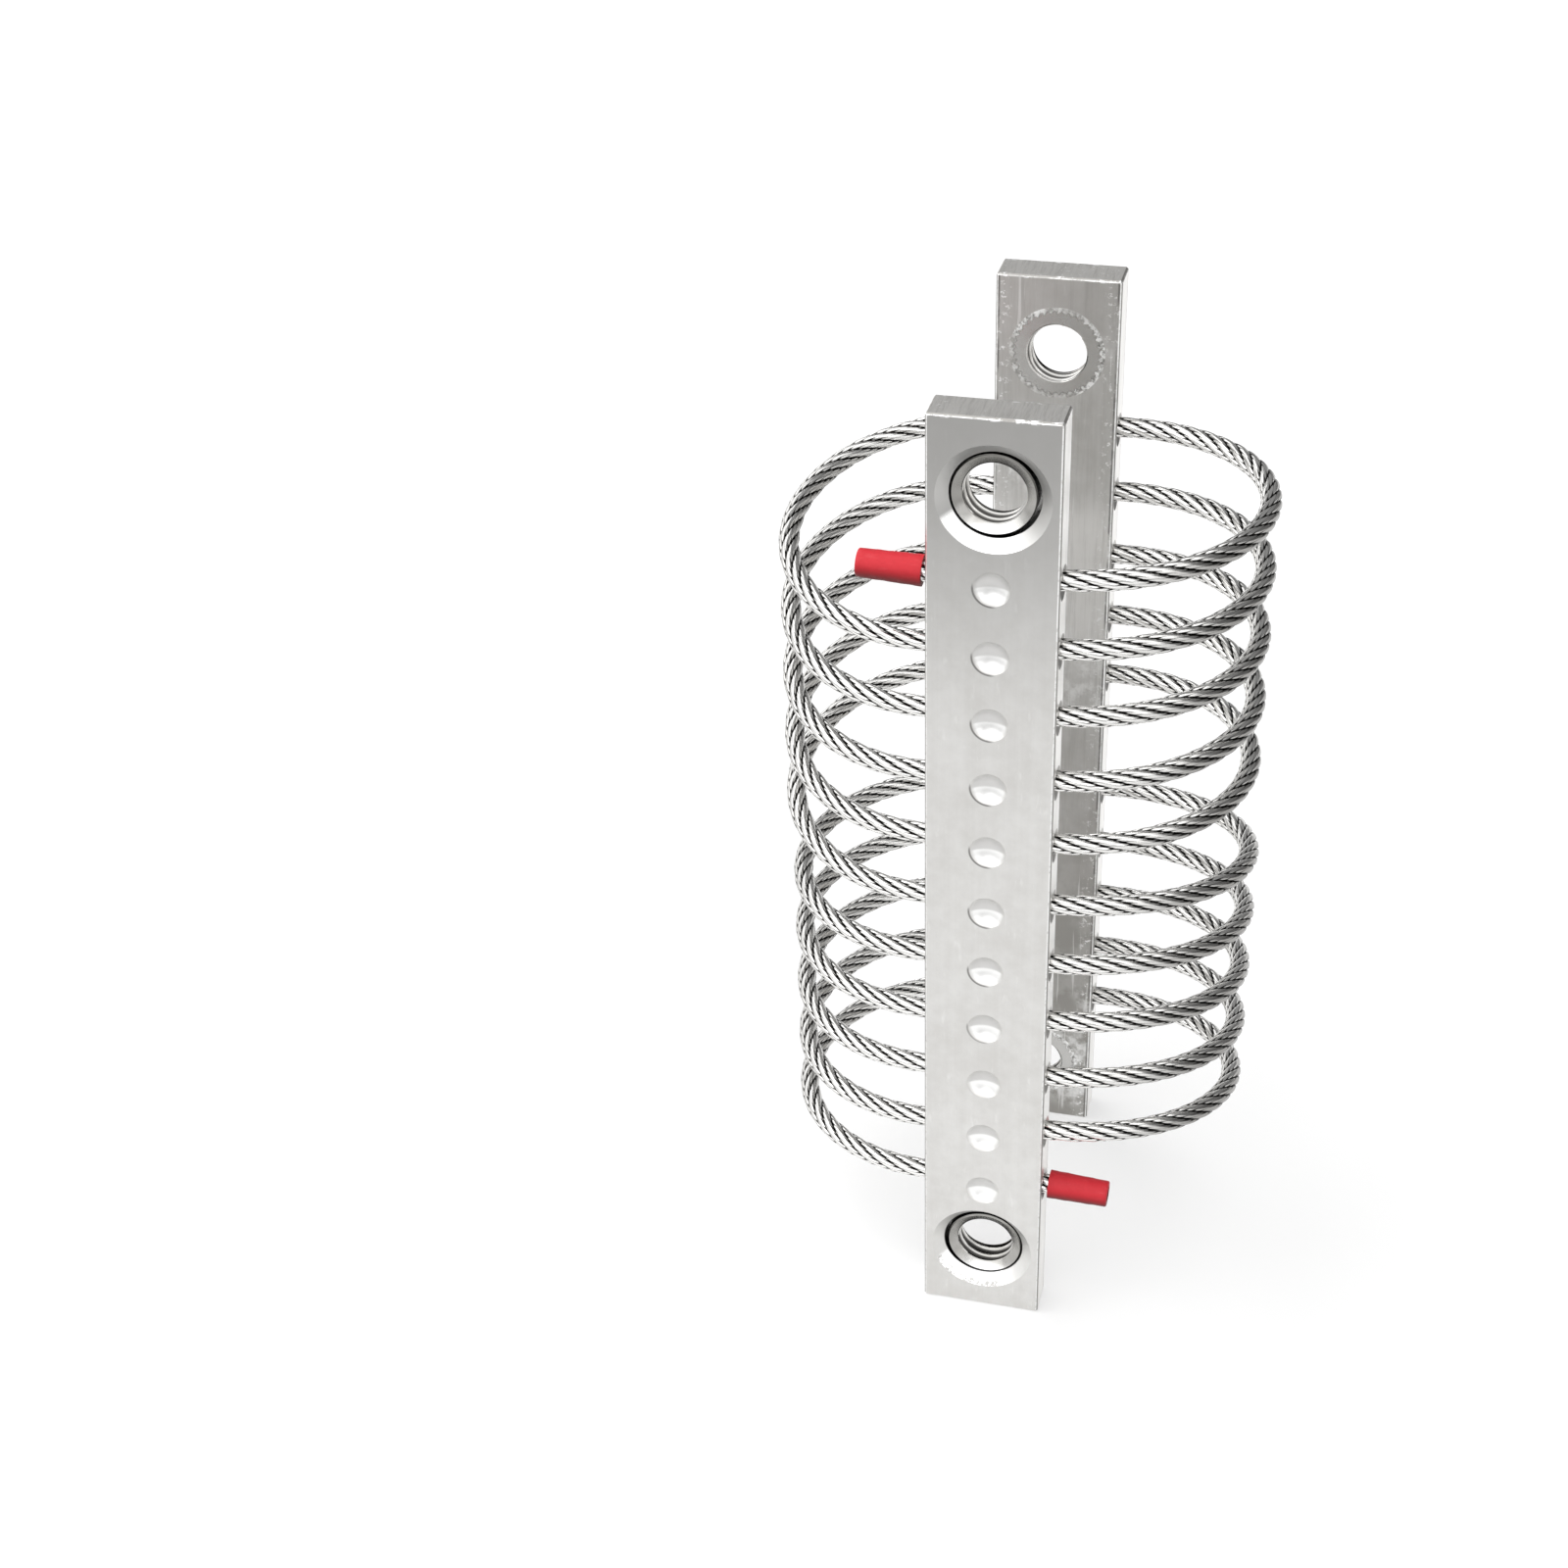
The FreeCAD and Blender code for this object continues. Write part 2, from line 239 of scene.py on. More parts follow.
class Graph:
    """The node tree of a material or of the world, with a maker's few tools on it."""

    def __init__(self, owner: bpy.types.Material | bpy.types.World) -> None:
        """Empty the owner's tree and take it."""
        self.owner = owner
        owner.use_nodes = True
        self.tree = owner.node_tree
        self.tree.nodes.clear()
        self.count = 0

    def node(
        self,
        kind: str,
        settings: Mapping[str, object],
        sockets: Mapping[str | int, object],
        output: str | int = 0,
    ) -> Wire:
        """Add a node.

        Args:
            kind: the node's type.
            settings: its own properties, set first.
            sockets: values or wires for its inputs, by name or number.
            output: which of its outputs is wanted.

        Returns:
            That output.
        """
        made = self.tree.nodes.new(kind)
        made.location = (-220 * (self.count % 12), -260 * (self.count // 12))
        self.count += 1
        for key, value in settings.items():
            setattr(made, key, value)
        for key, value in sockets.items():
            if isinstance(value, Wire):
                self.tree.links.new(value.socket, made.inputs[key])
            else:
                made.inputs[key].default_value = value
        return Wire(self, made.outputs[output] if made.outputs else None)

    def place(self) -> Wire:
        """Object coordinates, in metres."""
        return self.node("ShaderNodeTexCoord", {}, {}, "Object")

    def axes(self, place: Wire) -> tuple[Wire, Wire, Wire]:
        """The three coordinates in millimetres."""
        split = self.node("ShaderNodeSeparateXYZ", {}, {0: place})
        outputs = split.socket.node.outputs
        x, y, z = (Wire(self, outputs[index]) * 1000.0 for index in range(3))
        return x, y, z

    def own(self, name: str) -> Wire:
        """A number that the mesh carries at each point."""
        return self.node("ShaderNodeAttribute", {"attribute_name": name}, {}, "Fac")

    def stretched(self, place: Wire, scale: Colour) -> Wire:
        """The coordinates scaled by a different amount along each axis."""
        return self.node("ShaderNodeMapping", {}, {"Vector": place, "Scale": scale})

    def noise(self, place: Wire, scale: float, detail: float = 3.0, rough: float = 0.55) -> Wire:
        """Cloudy noise from 0 to 1."""
        return self.node(
            "ShaderNodeTexNoise",
            {},
            {"Vector": place, "Scale": scale, "Detail": detail, "Roughness": rough},
        )

    def blended(self, share: Wire | float, first: Wire | Colour, second: Wire | Colour) -> Wire:
        """First colour, turning into the second as share goes from 0 to 1."""
        colours = [c if isinstance(c, Wire) else (*c, 1.0) for c in (first, second)]
        return self.node(
            "ShaderNodeMix",
            {"data_type": "RGBA"},
            {0: share, 6: colours[0], 7: colours[1]},
            2,
        )

    def watched(self, mirrored: Wire) -> Wire:
        """1 to the camera, and the given share to what mirrors or shines through."""
        light_path = self.node("ShaderNodeLightPath", {}, {}, "Is Camera Ray")
        outputs = light_path.socket.node.outputs
        bounced = Wire(self, outputs["Is Glossy Ray"]).highest(Wire(self, outputs["Is Transmission Ray"]))
        return light_path.highest(bounced * mirrored)

    def bumped(self, height: Wire, distance: float, strength: float = 1.0) -> Wire:
        """A bumped normal; distance is in metres."""
        return self.node(
            "ShaderNodeBump",
            {},
            {"Height": height, "Distance": distance, "Strength": strength},
            "Normal",
        )

    def finish(self, sockets: Mapping[str | int, object]) -> bpy.types.Material:
        """End the graph in one shader.

        Args:
            sockets: values or wires for the shader's inputs.

        Returns:
            The finished material.
        """
        shader = self.node("ShaderNodeBsdfPrincipled", {}, sockets)
        self.node("ShaderNodeOutputMaterial", {}, {"Surface": shader})
        return self.owner


@dataclass(frozen=True)
class BarZones:
    """Where a point of a bar lies: distances in mm, and its share of each region from 0 to 1."""

    z: Wire
    out: Wire
    deep: Wire
    far: Wire
    down: Wire
    over_nut: Wire
    from_nut: Wire
    across: Wire
    through: Wire
    ends: Wire
    long_edges: Wire
    end_edges: Wire
    flanks: Wire
    inner: Wire
    outer: Wire
    pressed: Wire
    painted_rim_shade: Wire
    sunk: Wire
    painted_lit_crescent: Wire


@dataclass(frozen=True)
class BarGrain:
    """The noise patterns in the bars' metal, each from 0 to 1."""

    drawn: Wire
    wide: Wire
    mottle: Wire
    cloud: Wire
    blotch: Wire
    sawn: Wire
    scuff: Wire
    scratch: Wire
    nicks: Wire
    streak: Wire
    chips: Wire


@dataclass(frozen=True)
class SatinAluminium:
    """Extruded bar stock: drawn lines along it, bright broken edges, and painted light: painted shade on
    the inner face and up the outer face, lighter flanks, painted highlights in the crimp marks and nut
    seats.
    """

    light: Colour = (0.74, 0.735, 0.72)
    dark: Colour = (0.63, 0.62, 0.60)
    # Painted shade colour for the top of the outer face.
    painted_upper_shade: Colour = (0.38, 0.375, 0.365)
    # Dark tone of streaks and scores, also used for the inner face's painted shade.
    skin: Colour = (0.34, 0.33, 0.31)
    # Grey of each crimp mark's upper half; its lower half gets a painted highlight.
    painted_dimple_shading: Colour = (0.62, 0.615, 0.605)
    glint: Colour = (1.0, 1.0, 0.99)
    nick: Colour = (1.0, 1.0, 1.0)
    # Dark tone of the creases beside the edges, also used for painted shade on the crimp marks' rims.
    crease_and_rim_shade: Colour = (0.16, 0.155, 0.15)
    shadow: Colour = (0.03, 0.029, 0.027)
    # Flank tones, painted much lighter than the faces as painted light.
    painted_lit_pale: Colour = (1.0, 0.99, 0.97)
    painted_lit_grey: Colour = (0.86, 0.85, 0.83)
    end_light: Colour = (0.70, 0.69, 0.67)
    end_dark: Colour = (0.42, 0.41, 0.39)
    edge: Colour = (0.93, 0.93, 0.92)
    worn_edge: Colour = (0.40, 0.39, 0.37)
    soft: float = 0.04
    mark_radius: float = 2.55
    nut_seat: float = 6.1
    countersink: float = 7.8

    def zones(self, g: Graph, place: Wire, side: int) -> BarZones:
        """Work out where each point lies.

        Args:
            g: the material's graph.
            place: its coordinates.
            side: -1 for the front bar, 1 for the rear bar.

        Returns:
            The distances and shares.
        """
        x, y, z = g.axes(place)
        inwards = (y - side * BAR.offset) * -side
        out, deep, far = abs(x), abs(inwards), abs(z - BAR.half_length)
        across = out.step(BAR.face_edge - self.soft, BAR.face_edge + self.soft)
        through = deep.step(BAR.deep_edge - self.soft, BAR.deep_edge + self.soft)
        ends = far.step(BAR.end_edge - self.soft, BAR.end_edge + self.soft)
        flanks = out.step(BAR.half_width - 0.05, BAR.half_width - 0.01)
        inner = inwards.step(BAR.half_depth - 0.04, BAR.half_depth - 0.01)
        outer = 1.0 - inner

        down = (z - BAR.first_mark).off_centre(BAR.pitch)
        from_mark = (x * x + down * down) ** 0.5
        marked = outer * z.step(BAR.first_mark - 4.0, BAR.first_mark - 3.5)
        marked = marked * z.step(BAR.last_mark + 4.0, BAR.last_mark + 3.5)
        if side > 0:
            marked = marked * abs(z - (BAR.first_mark + BAR.last_mark) / 2).step(4.0, 4.5)
        # The rim ring and its lower-left arc, where painted shade goes.
        rim = from_mark.step(self.mark_radius - 0.12, self.mark_radius)
        rim = rim * from_mark.step(self.mark_radius + 0.28, self.mark_radius + 0.12)
        lower_left = (x * -0.72 - down * 0.69).step(1.2, 2.0) * z.step(40.0, 62.0)

        over_nut = (z - BAR.nut_height).off_centre(2 * BAR.nut_place)
        from_nut = (x * x + (far - BAR.nut_place) ** 2.0) ** 0.5
        sunk = outer * from_nut.step(self.countersink, self.countersink - 0.1)
        sunk = sunk * deep.step(BAR.half_depth - 0.01, BAR.half_depth - 0.03)
        return BarZones(
            z=z,
            out=out,
            deep=deep,
            far=far,
            down=down,
            over_nut=over_nut,
            from_nut=from_nut,
            across=across,
            through=through,
            ends=ends,
            long_edges=across * through * (1.0 - ends),
            end_edges=((through + across) * ends).lowest(1.0),
            flanks=flanks * (1.0 - through) * (1.0 - ends),
            inner=inner,
            outer=outer,
            pressed=marked * from_mark.step(self.mark_radius, self.mark_radius - 0.6),
            painted_rim_shade=marked * rim * lower_left,
            sunk=sunk,
            painted_lit_crescent=sunk * ((x * -0.29 - over_nut * 0.957) / from_nut).step(0.62, 0.70),
        )

    def grain(self, g: Graph, place: Wire, z: Wire) -> BarGrain:
        """Make the noise patterns; the chips stay on the upper half, as z tells."""
        def lined(scale: Colour, detail: float = 3.0, rough: float = 0.55) -> Wire:
            """Noise drawn out along an axis."""
            return g.noise(g.stretched(place, scale), 1.0, detail, rough)

        return BarGrain(
            drawn=lined((2300.0, 2300.0, 26.0), 4.0, 0.6),
            wide=lined((620.0, 620.0, 11.0), 2.0),
            mottle=g.noise(place, 420.0, 5.0, 0.62),
            cloud=g.noise(place, 55.0, 2.0),
            blotch=g.noise(place, 150.0, 4.0, 0.6),
            sawn=lined((3200.0, 260.0, 260.0), 4.0, 0.7),
            scuff=lined((900.0, 900.0, 210.0)).step(0.63, 0.74),
            scratch=lined((1500.0, 1500.0, 60.0), 2.0).step(0.66, 0.72),
            nicks=g.noise(place, 1500.0, 3.0, 0.7),
            streak=lined((1500.0, 1500.0, 75.0), 4.0, 0.7),
            chips=lined((560.0, 1100.0, 1100.0), 3.0, 0.6).step(0.56, 0.64) * z.step(75.0, 77.0),
        )

    def faces(self, g: Graph, at: BarZones, grain: BarGrain) -> Wire:
        """Colour the broad faces: the outer one greys upwards by painted shade; the inner one is streaked,
        with painted shade and a painted lighter band.
        """
        tone = 0.16 * grain.wide + 0.44 * grain.mottle + 0.12 * grain.drawn + 0.42 * grain.cloud
        colour = g.blended(tone.step(0.36, 0.80), self.dark, self.light)
        colour = g.blended(grain.scuff * 0.22, colour, self.edge)
        # Painted highlight: a lighter band across the inner face between about 84 and 120 mm up.
        bright = at.inner * at.z.step(84.0, 96.0) * at.z.step(120.0, 112.0)
        colour = g.blended(bright * 0.60, colour, self.painted_lit_pale)
        # Painted shade on the inner face: slight all over, more along its top, and deep towards the bottom,
        # blotched by noise.
        painted_inner_shade = at.z.step(90.0, 10.0) * (0.72 + 0.44 * grain.blotch.step(0.62, 0.40))
        painted_inner_shade = at.inner * (0.06 + 0.20 * at.z.step(114.0, 124.0) + painted_inner_shade)
        colour = g.blended(painted_inner_shade, colour, self.skin)
        colour = g.blended(at.inner * grain.scratch * 0.55, colour, self.edge)
        smear = at.inner * grain.cloud.step(0.52, 0.66) * grain.mottle.step(0.40, 0.60)
        colour = g.blended(smear * 0.75, colour, self.edge)
        colour = g.blended(at.inner * grain.streak.step(0.44, 0.70) * 0.24, colour, self.skin)
        nicked = at.inner * at.out.step(5.8, 8.0) * grain.nicks.step(0.57, 0.66)
        colour = g.blended(nicked * 0.85, colour, self.nick)
        # Painted shade: the outer face greys towards the top.
        return g.blended(at.outer * at.z.step(102.0, 150.0) * 0.82, colour, self.painted_upper_shade)

    def marks(self, g: Graph, at: BarZones, grain: BarGrain, colour: Wire) -> Wire:
        """Colour the crimp marks and the countersunk nut seats over what is there, with painted highlights
        and shade and a painted shadow in the seat bore.
        """
        # Painted highlight: each crimp mark's lower half is painted white, its upper half grey.
        painted_dimple_shading = g.blended(at.down.step(0.05, -0.35), self.painted_dimple_shading, self.glint)
        colour = g.blended(at.pressed * (0.7 + 0.3 * grain.mottle), colour, painted_dimple_shading)
        # Painted shade along the lower left of each crimp mark's rim.
        colour = g.blended(at.painted_rim_shade * 0.8, colour, self.crease_and_rim_shade)
        # Painted highlight: the countersinks are painted lighter, more towards the top, and their lower
        # crescent white.
        painted_sink_highlight = 0.14 + 0.24 * (at.over_nut / at.from_nut).step(0.2, 1.0)
        colour = g.blended(at.sunk * painted_sink_highlight, colour, self.glint)
        colour = g.blended(at.painted_lit_crescent, colour, self.glint)
        scored = at.from_nut.step(6.9, 7.3) * grain.nicks.step(0.50, 0.56) * at.z.step(40.0, 30.0)
        colour = g.blended(at.painted_lit_crescent * scored * 0.7, colour, self.skin)
        return g.blended(at.from_nut.step(self.nut_seat + 0.14, self.nut_seat + 0.02), colour, self.shadow)

    def flanks(self, g: Graph, at: BarZones, grain: BarGrain, colour: Wire) -> Wire:
        """Colour the drawn flanks in painted-light tones, and the sawn ends, over what is there."""
        # The flanks' streaks run between the two painted-light tones.
        drawn = g.blended(grain.streak.step(0.40, 0.66), self.painted_lit_grey, self.painted_lit_pale)
        colour = g.blended(at.flanks, colour, drawn)
        colour = g.blended(at.flanks * grain.nicks.step(0.66, 0.74) * 0.7, colour, self.edge)
        flat = at.ends * (1.0 - at.end_edges)
        colour = g.blended(flat, colour, self.end_light)
        colour = g.blended(flat * grain.sawn.step(0.42, 0.72) * 0.45, colour, self.end_dark)
        nicked = at.ends * grain.nicks.step(0.60, 0.68) * grain.blotch.step(0.42, 0.56)
        return g.blended(nicked * 0.8, colour, self.nick)

    def edges(self, g: Graph, at: BarZones, grain: BarGrain, colour: Wire) -> Wire:
        """Colour the broken edges: a bright worn line, dark creases beside it, chips at the ends."""
        thin = at.out.step(BAR.face_edge + 0.20, BAR.face_edge + 0.12)
        colour = g.blended(at.long_edges, colour, self.worn_edge)
        worn = at.long_edges * thin * (0.55 + 0.45 * grain.nicks.step(0.36, 0.5))
        colour = g.blended(worn, colour, self.edge)
        end_thin = at.far.step(BAR.end_edge + 0.17, BAR.end_edge + 0.10)
        colour = g.blended(at.end_edges, colour, self.worn_edge)
        broken = grain.blotch.step(0.40, 0.56) * (0.3 + 0.7 * grain.nicks.step(0.36, 0.54))
        colour = g.blended(at.end_edges * end_thin * broken, colour, self.edge)
        beside = at.deep.step(BAR.deep_edge - 0.32, BAR.deep_edge - 0.22)
        beside = beside * at.deep.step(BAR.deep_edge + 0.16, BAR.deep_edge + 0.08)
        creased = at.across * beside * (1.0 - at.ends) * (0.45 + 0.4 * grain.streak)
        colour = g.blended(creased, colour, self.crease_and_rim_shade)
        seam = at.inner * at.out.step(BAR.face_edge - 0.34, BAR.face_edge - 0.22)
        seam = seam * at.out.step(BAR.face_edge + 0.02, BAR.face_edge - 0.05)
        colour = g.blended(seam * grain.blotch.step(0.36, 0.56) * 0.75, colour, self.crease_and_rim_shade)
        frayed = at.ends * at.deep.step(2.15, 2.40)
        frayed = frayed + at.through * at.far.step(BAR.end_edge - 0.22, BAR.end_edge - 0.10)
        return g.blended(frayed.lowest(1.0) * grain.chips * 0.95, colour, self.nick)

    def material(self, name: str, side: int) -> bpy.types.Material:
        """Make the finish.

        Args:
            name: the material's name.
            side: -1 for the front bar, 1 for the rear bar.

        Returns:
            The material.
        """
        g = Graph(bpy.data.materials.new(name))
        place = g.place()
        at = self.zones(g, place, side)
        grain = self.grain(g, place, at.z)
        colour = self.faces(g, at, grain)
        for part in (self.marks, self.flanks, self.edges):
            colour = part(g, at, grain, colour)
        broken = (at.long_edges + at.end_edges).lowest(1.0)
        rough = 0.30 + 0.10 * grain.mottle + 0.05 * grain.drawn + 0.14 * at.ends
        rough = rough - 0.06 * broken - 0.05 * at.pressed - 0.16 * at.painted_lit_crescent
        height = 0.25 * grain.drawn + 0.5 * grain.sawn * at.ends
        height = height + (0.55 + 0.25 * at.pressed) * grain.mottle
        return g.finish({
            "Base Color": colour,
            "Metallic": 1.0,
            "Roughness": rough,
            "Normal": g.bumped(height, 0.00003, 0.55),
        })


@dataclass(frozen=True)
class TurnedSteel:
    """Zinc-plated turned steel: fine turning rings, faint clouds, a duller flange face, a painted highlight
    low in the dish and painted shade above it, in the thread roots and round the shank.
    """

    light: Colour = (0.80, 0.795, 0.78)
    dark: Colour = (0.58, 0.57, 0.55)
    # Painted shade colour for the dish.
    dull_and_dish_shade: Colour = (0.26, 0.255, 0.24)
    flange_face: Colour = (0.57, 0.565, 0.55)
    # Painted shade colour for the thread roots and the gap round the shank.
    painted_recess_shade: Colour = (0.045, 0.043, 0.040)
    stained: Colour = (0.55, 0.51, 0.44)
    glint: Colour = (1.0, 1.0, 0.99)
    ring_pitch: float = 0.14

    def material(self, name: str) -> bpy.types.Material:
        """Make the finish from what each nut's mesh carries: radius, height and place along it."""
        g = Graph(bpy.data.materials.new(name))
        place = g.place()
        radius = g.own("radius")
        above = g.own("above")
        depth = g.own("depth")
        root = g.own("root")
        ring = (radius * (2 * math.pi / self.ring_pitch)).sine() * 0.5 + 0.5
        cloud = g.noise(place, 520.0, 4.0, 0.6)
        speck = g.noise(place, 3800.0, 2.0)
        stain = g.noise(place, 160.0, 3.0).step(0.42, 0.66)
        colour = g.blended(0.65 * cloud + 0.2 * ring, self.dark, self.light)
        colour = g.blended(stain * 0.25, colour, self.stained)
        solid = radius.step(4.25, 4.4)
        face = depth.step(0.10, 0.02) * solid
        colour = g.blended(face * (0.75 + 0.25 * cloud), colour, self.flange_face)
        # Painted light in the dish at the shank's end: a painted highlight low down, painted shade above.
        dished = depth.step(3.4, 3.6) * solid
        shade = above.step(-0.84, -0.52) * (0.55 + 0.15 * stain + 0.30 * above.step(-0.3, 0.3))
        colour = g.blended(dished * above.step(-0.70, -0.86), colour, self.glint)
        colour = g.blended(dished * shade, colour, self.dull_and_dish_shade)
        # Painted shade in the thread roots and in the gap between the shank and its seat.
        colour = g.blended(root.step(0.06, 0.42) * 0.96, colour, self.painted_recess_shade)
        painted_gap_shade = radius.step(5.70, 5.76) * depth.step(1.25, 1.4) * depth.step(4.14, 4.0)
        colour = g.blended(painted_gap_shade, colour, self.painted_recess_shade)
        return g.finish({
            "Base Color": colour,
            "Metallic": 1.0,
            "Roughness": 0.16 + 0.12 * cloud + 0.05 * speck,
            "Normal": g.bumped(0.5 * ring + 0.4 * speck, 0.00002, 0.5),
        })


@dataclass(frozen=True)
class CrushedAluminium:
    """Bar metal crushed between the serrations: small bright facets and dark folds."""

    bright: Colour = (0.95, 0.95, 0.94)
    fold: Colour = (0.28, 0.275, 0.26)
    flat: Colour = (0.52, 0.51, 0.49)

    def material(self, name: str) -> bpy.types.Material:
        """Make the finish."""
        g = Graph(bpy.data.materials.new(name))
        place = g.place()
        bits = g.noise(place, 1150.0, 3.0, 0.7)
        patch = g.noise(place, 210.0, 2.0)
        colour = g.blended(bits.step(0.36, 0.60), self.fold, self.bright)
        colour = g.blended(patch.step(0.62, 0.40) * 0.6, colour, self.flat)
        return g.finish({
            "Base Color": colour,
            "Metallic": 1.0,
            "Roughness": 0.30 + 0.15 * patch,
            "Normal": g.bumped(bits, 0.00022, 0.9),
        })


@dataclass(frozen=True)
class StrandSteel:
    """Bright drawn wire laid into strands, rougher between them, with painted shade in the grooves and on
    the loops' sides.
    """

    bright: Colour = (0.97, 0.965, 0.95)
    dull_and_dish_shade: Colour = (0.86, 0.85, 0.83)
    # Painted shade colour for the grooves.
    painted_groove_shade: Colour = (0.020, 0.019, 0.017)
    # Painted shade colour for the loops' sides.
    painted_side_shade: Colour = (0.22, 0.212, 0.20)

    def material(self, name: str) -> bpy.types.Material:
        """Make the finish from how open each point lies, its run and its share of painted side shade."""
        g = Graph(bpy.data.materials.new(name))
        place = g.place()
        lies_open = g.own("lies_open")
        run = g.own("run")
        side_shade_share = g.own("side_shade_share")
        worn = g.noise(place, 900.0, 3.0)
        patch = g.noise(place, 90.0, 2.0)
        along = (run * 7.0).sine() * 0.5 + 0.5
        colour = g.blended(0.55 * worn + 0.35 * patch + 0.1 * along, self.dull_and_dish_shade, self.bright)
        # Painted shade on the loops' sides.
        colour = g.blended(side_shade_share * (0.68 + 0.32 * patch), colour, self.painted_side_shade)
        # Painted shade in the grooves between the strands and the wires.
        colour = g.blended(lies_open.step(0.63, 0.40), colour, self.painted_groove_shade)
        return g.finish({
            "Base Color": colour,
            "Metallic": 1.0,
            "Roughness": 0.17 + 0.10 * worn + 0.25 * lies_open.step(0.55, 0.1),
            "Normal": g.bumped(g.noise(place, 4200.0, 2.0), 0.00001, 0.4),
        })


@dataclass(frozen=True)
class SoftSleeve:
    """Heat-shrunk red tube: a soft sheen, a faintly grainy skin and painted shade on its underside."""

    light: Colour = (0.68, 0.034, 0.048)
    dark: Colour = (0.52, 0.015, 0.025)
    # Painted shade colour for the sleeve's underside.
    under: Colour = (0.15, 0.005, 0.007)
    rubbed: Colour = (0.80, 0.16, 0.17)

    def material(self, name: str) -> bpy.types.Material:
        """Make the finish."""
        g = Graph(bpy.data.materials.new(name))
        place = g.place()
        skin = g.noise(place, 2600.0, 4.0, 0.6)
        cloud = g.noise(place, 330.0, 3.0)
        rub = g.noise(g.stretched(place, (300.0, 1500.0, 1500.0)), 1.0, 3.0).step(0.56, 0.72)
        colour = g.blended(0.5 * cloud + 0.45 * skin, self.dark, self.light)
        colour = g.blended(rub * 0.14, colour, self.rubbed)
        # Painted shade: the sleeve darkens towards its underside.
        colour = g.blended(g.own("above").step(0.50, -0.60), colour, self.under)
        return g.finish({
            "Base Color": colour,
            "Roughness": 0.40 + 0.14 * skin,
            "Specular IOR Level": 0.30,
            "Normal": g.bumped(0.6 * skin + 0.4 * cloud, 0.00003, 0.5),
        })


@dataclass(frozen=True)
class PaleFloor:
    """A plain floor that looks white round the object and keeps its shadow."""

    grey: float = 0.50
    lift: float = 0.50

    def material(self, name: str) -> bpy.types.Material:
        """Make the finish."""
        g = Graph(bpy.data.materials.new(name))
        place = g.place()
        x, y, _ = g.axes(place)
        near = ((x * x + y * y) ** 0.5).step(2600.0, 1100.0)
        lit = g.watched(y.step(-560.0, -150.0) * near)
        grain = g.noise(place, 12.0, 2.0)
        base = g.blended(grain, (self.grey - 0.006,) * 3, (self.grey + 0.006,) * 3)
        return g.finish({
            "Base Color": base,
            "Roughness": 0.9,
            "Specular IOR Level": 0.0,
            "Emission Color": g.blended(lit, (0.0, 0.0, 0.0), (self.lift,) * 3),
            "Emission Strength": 1.0,
        })


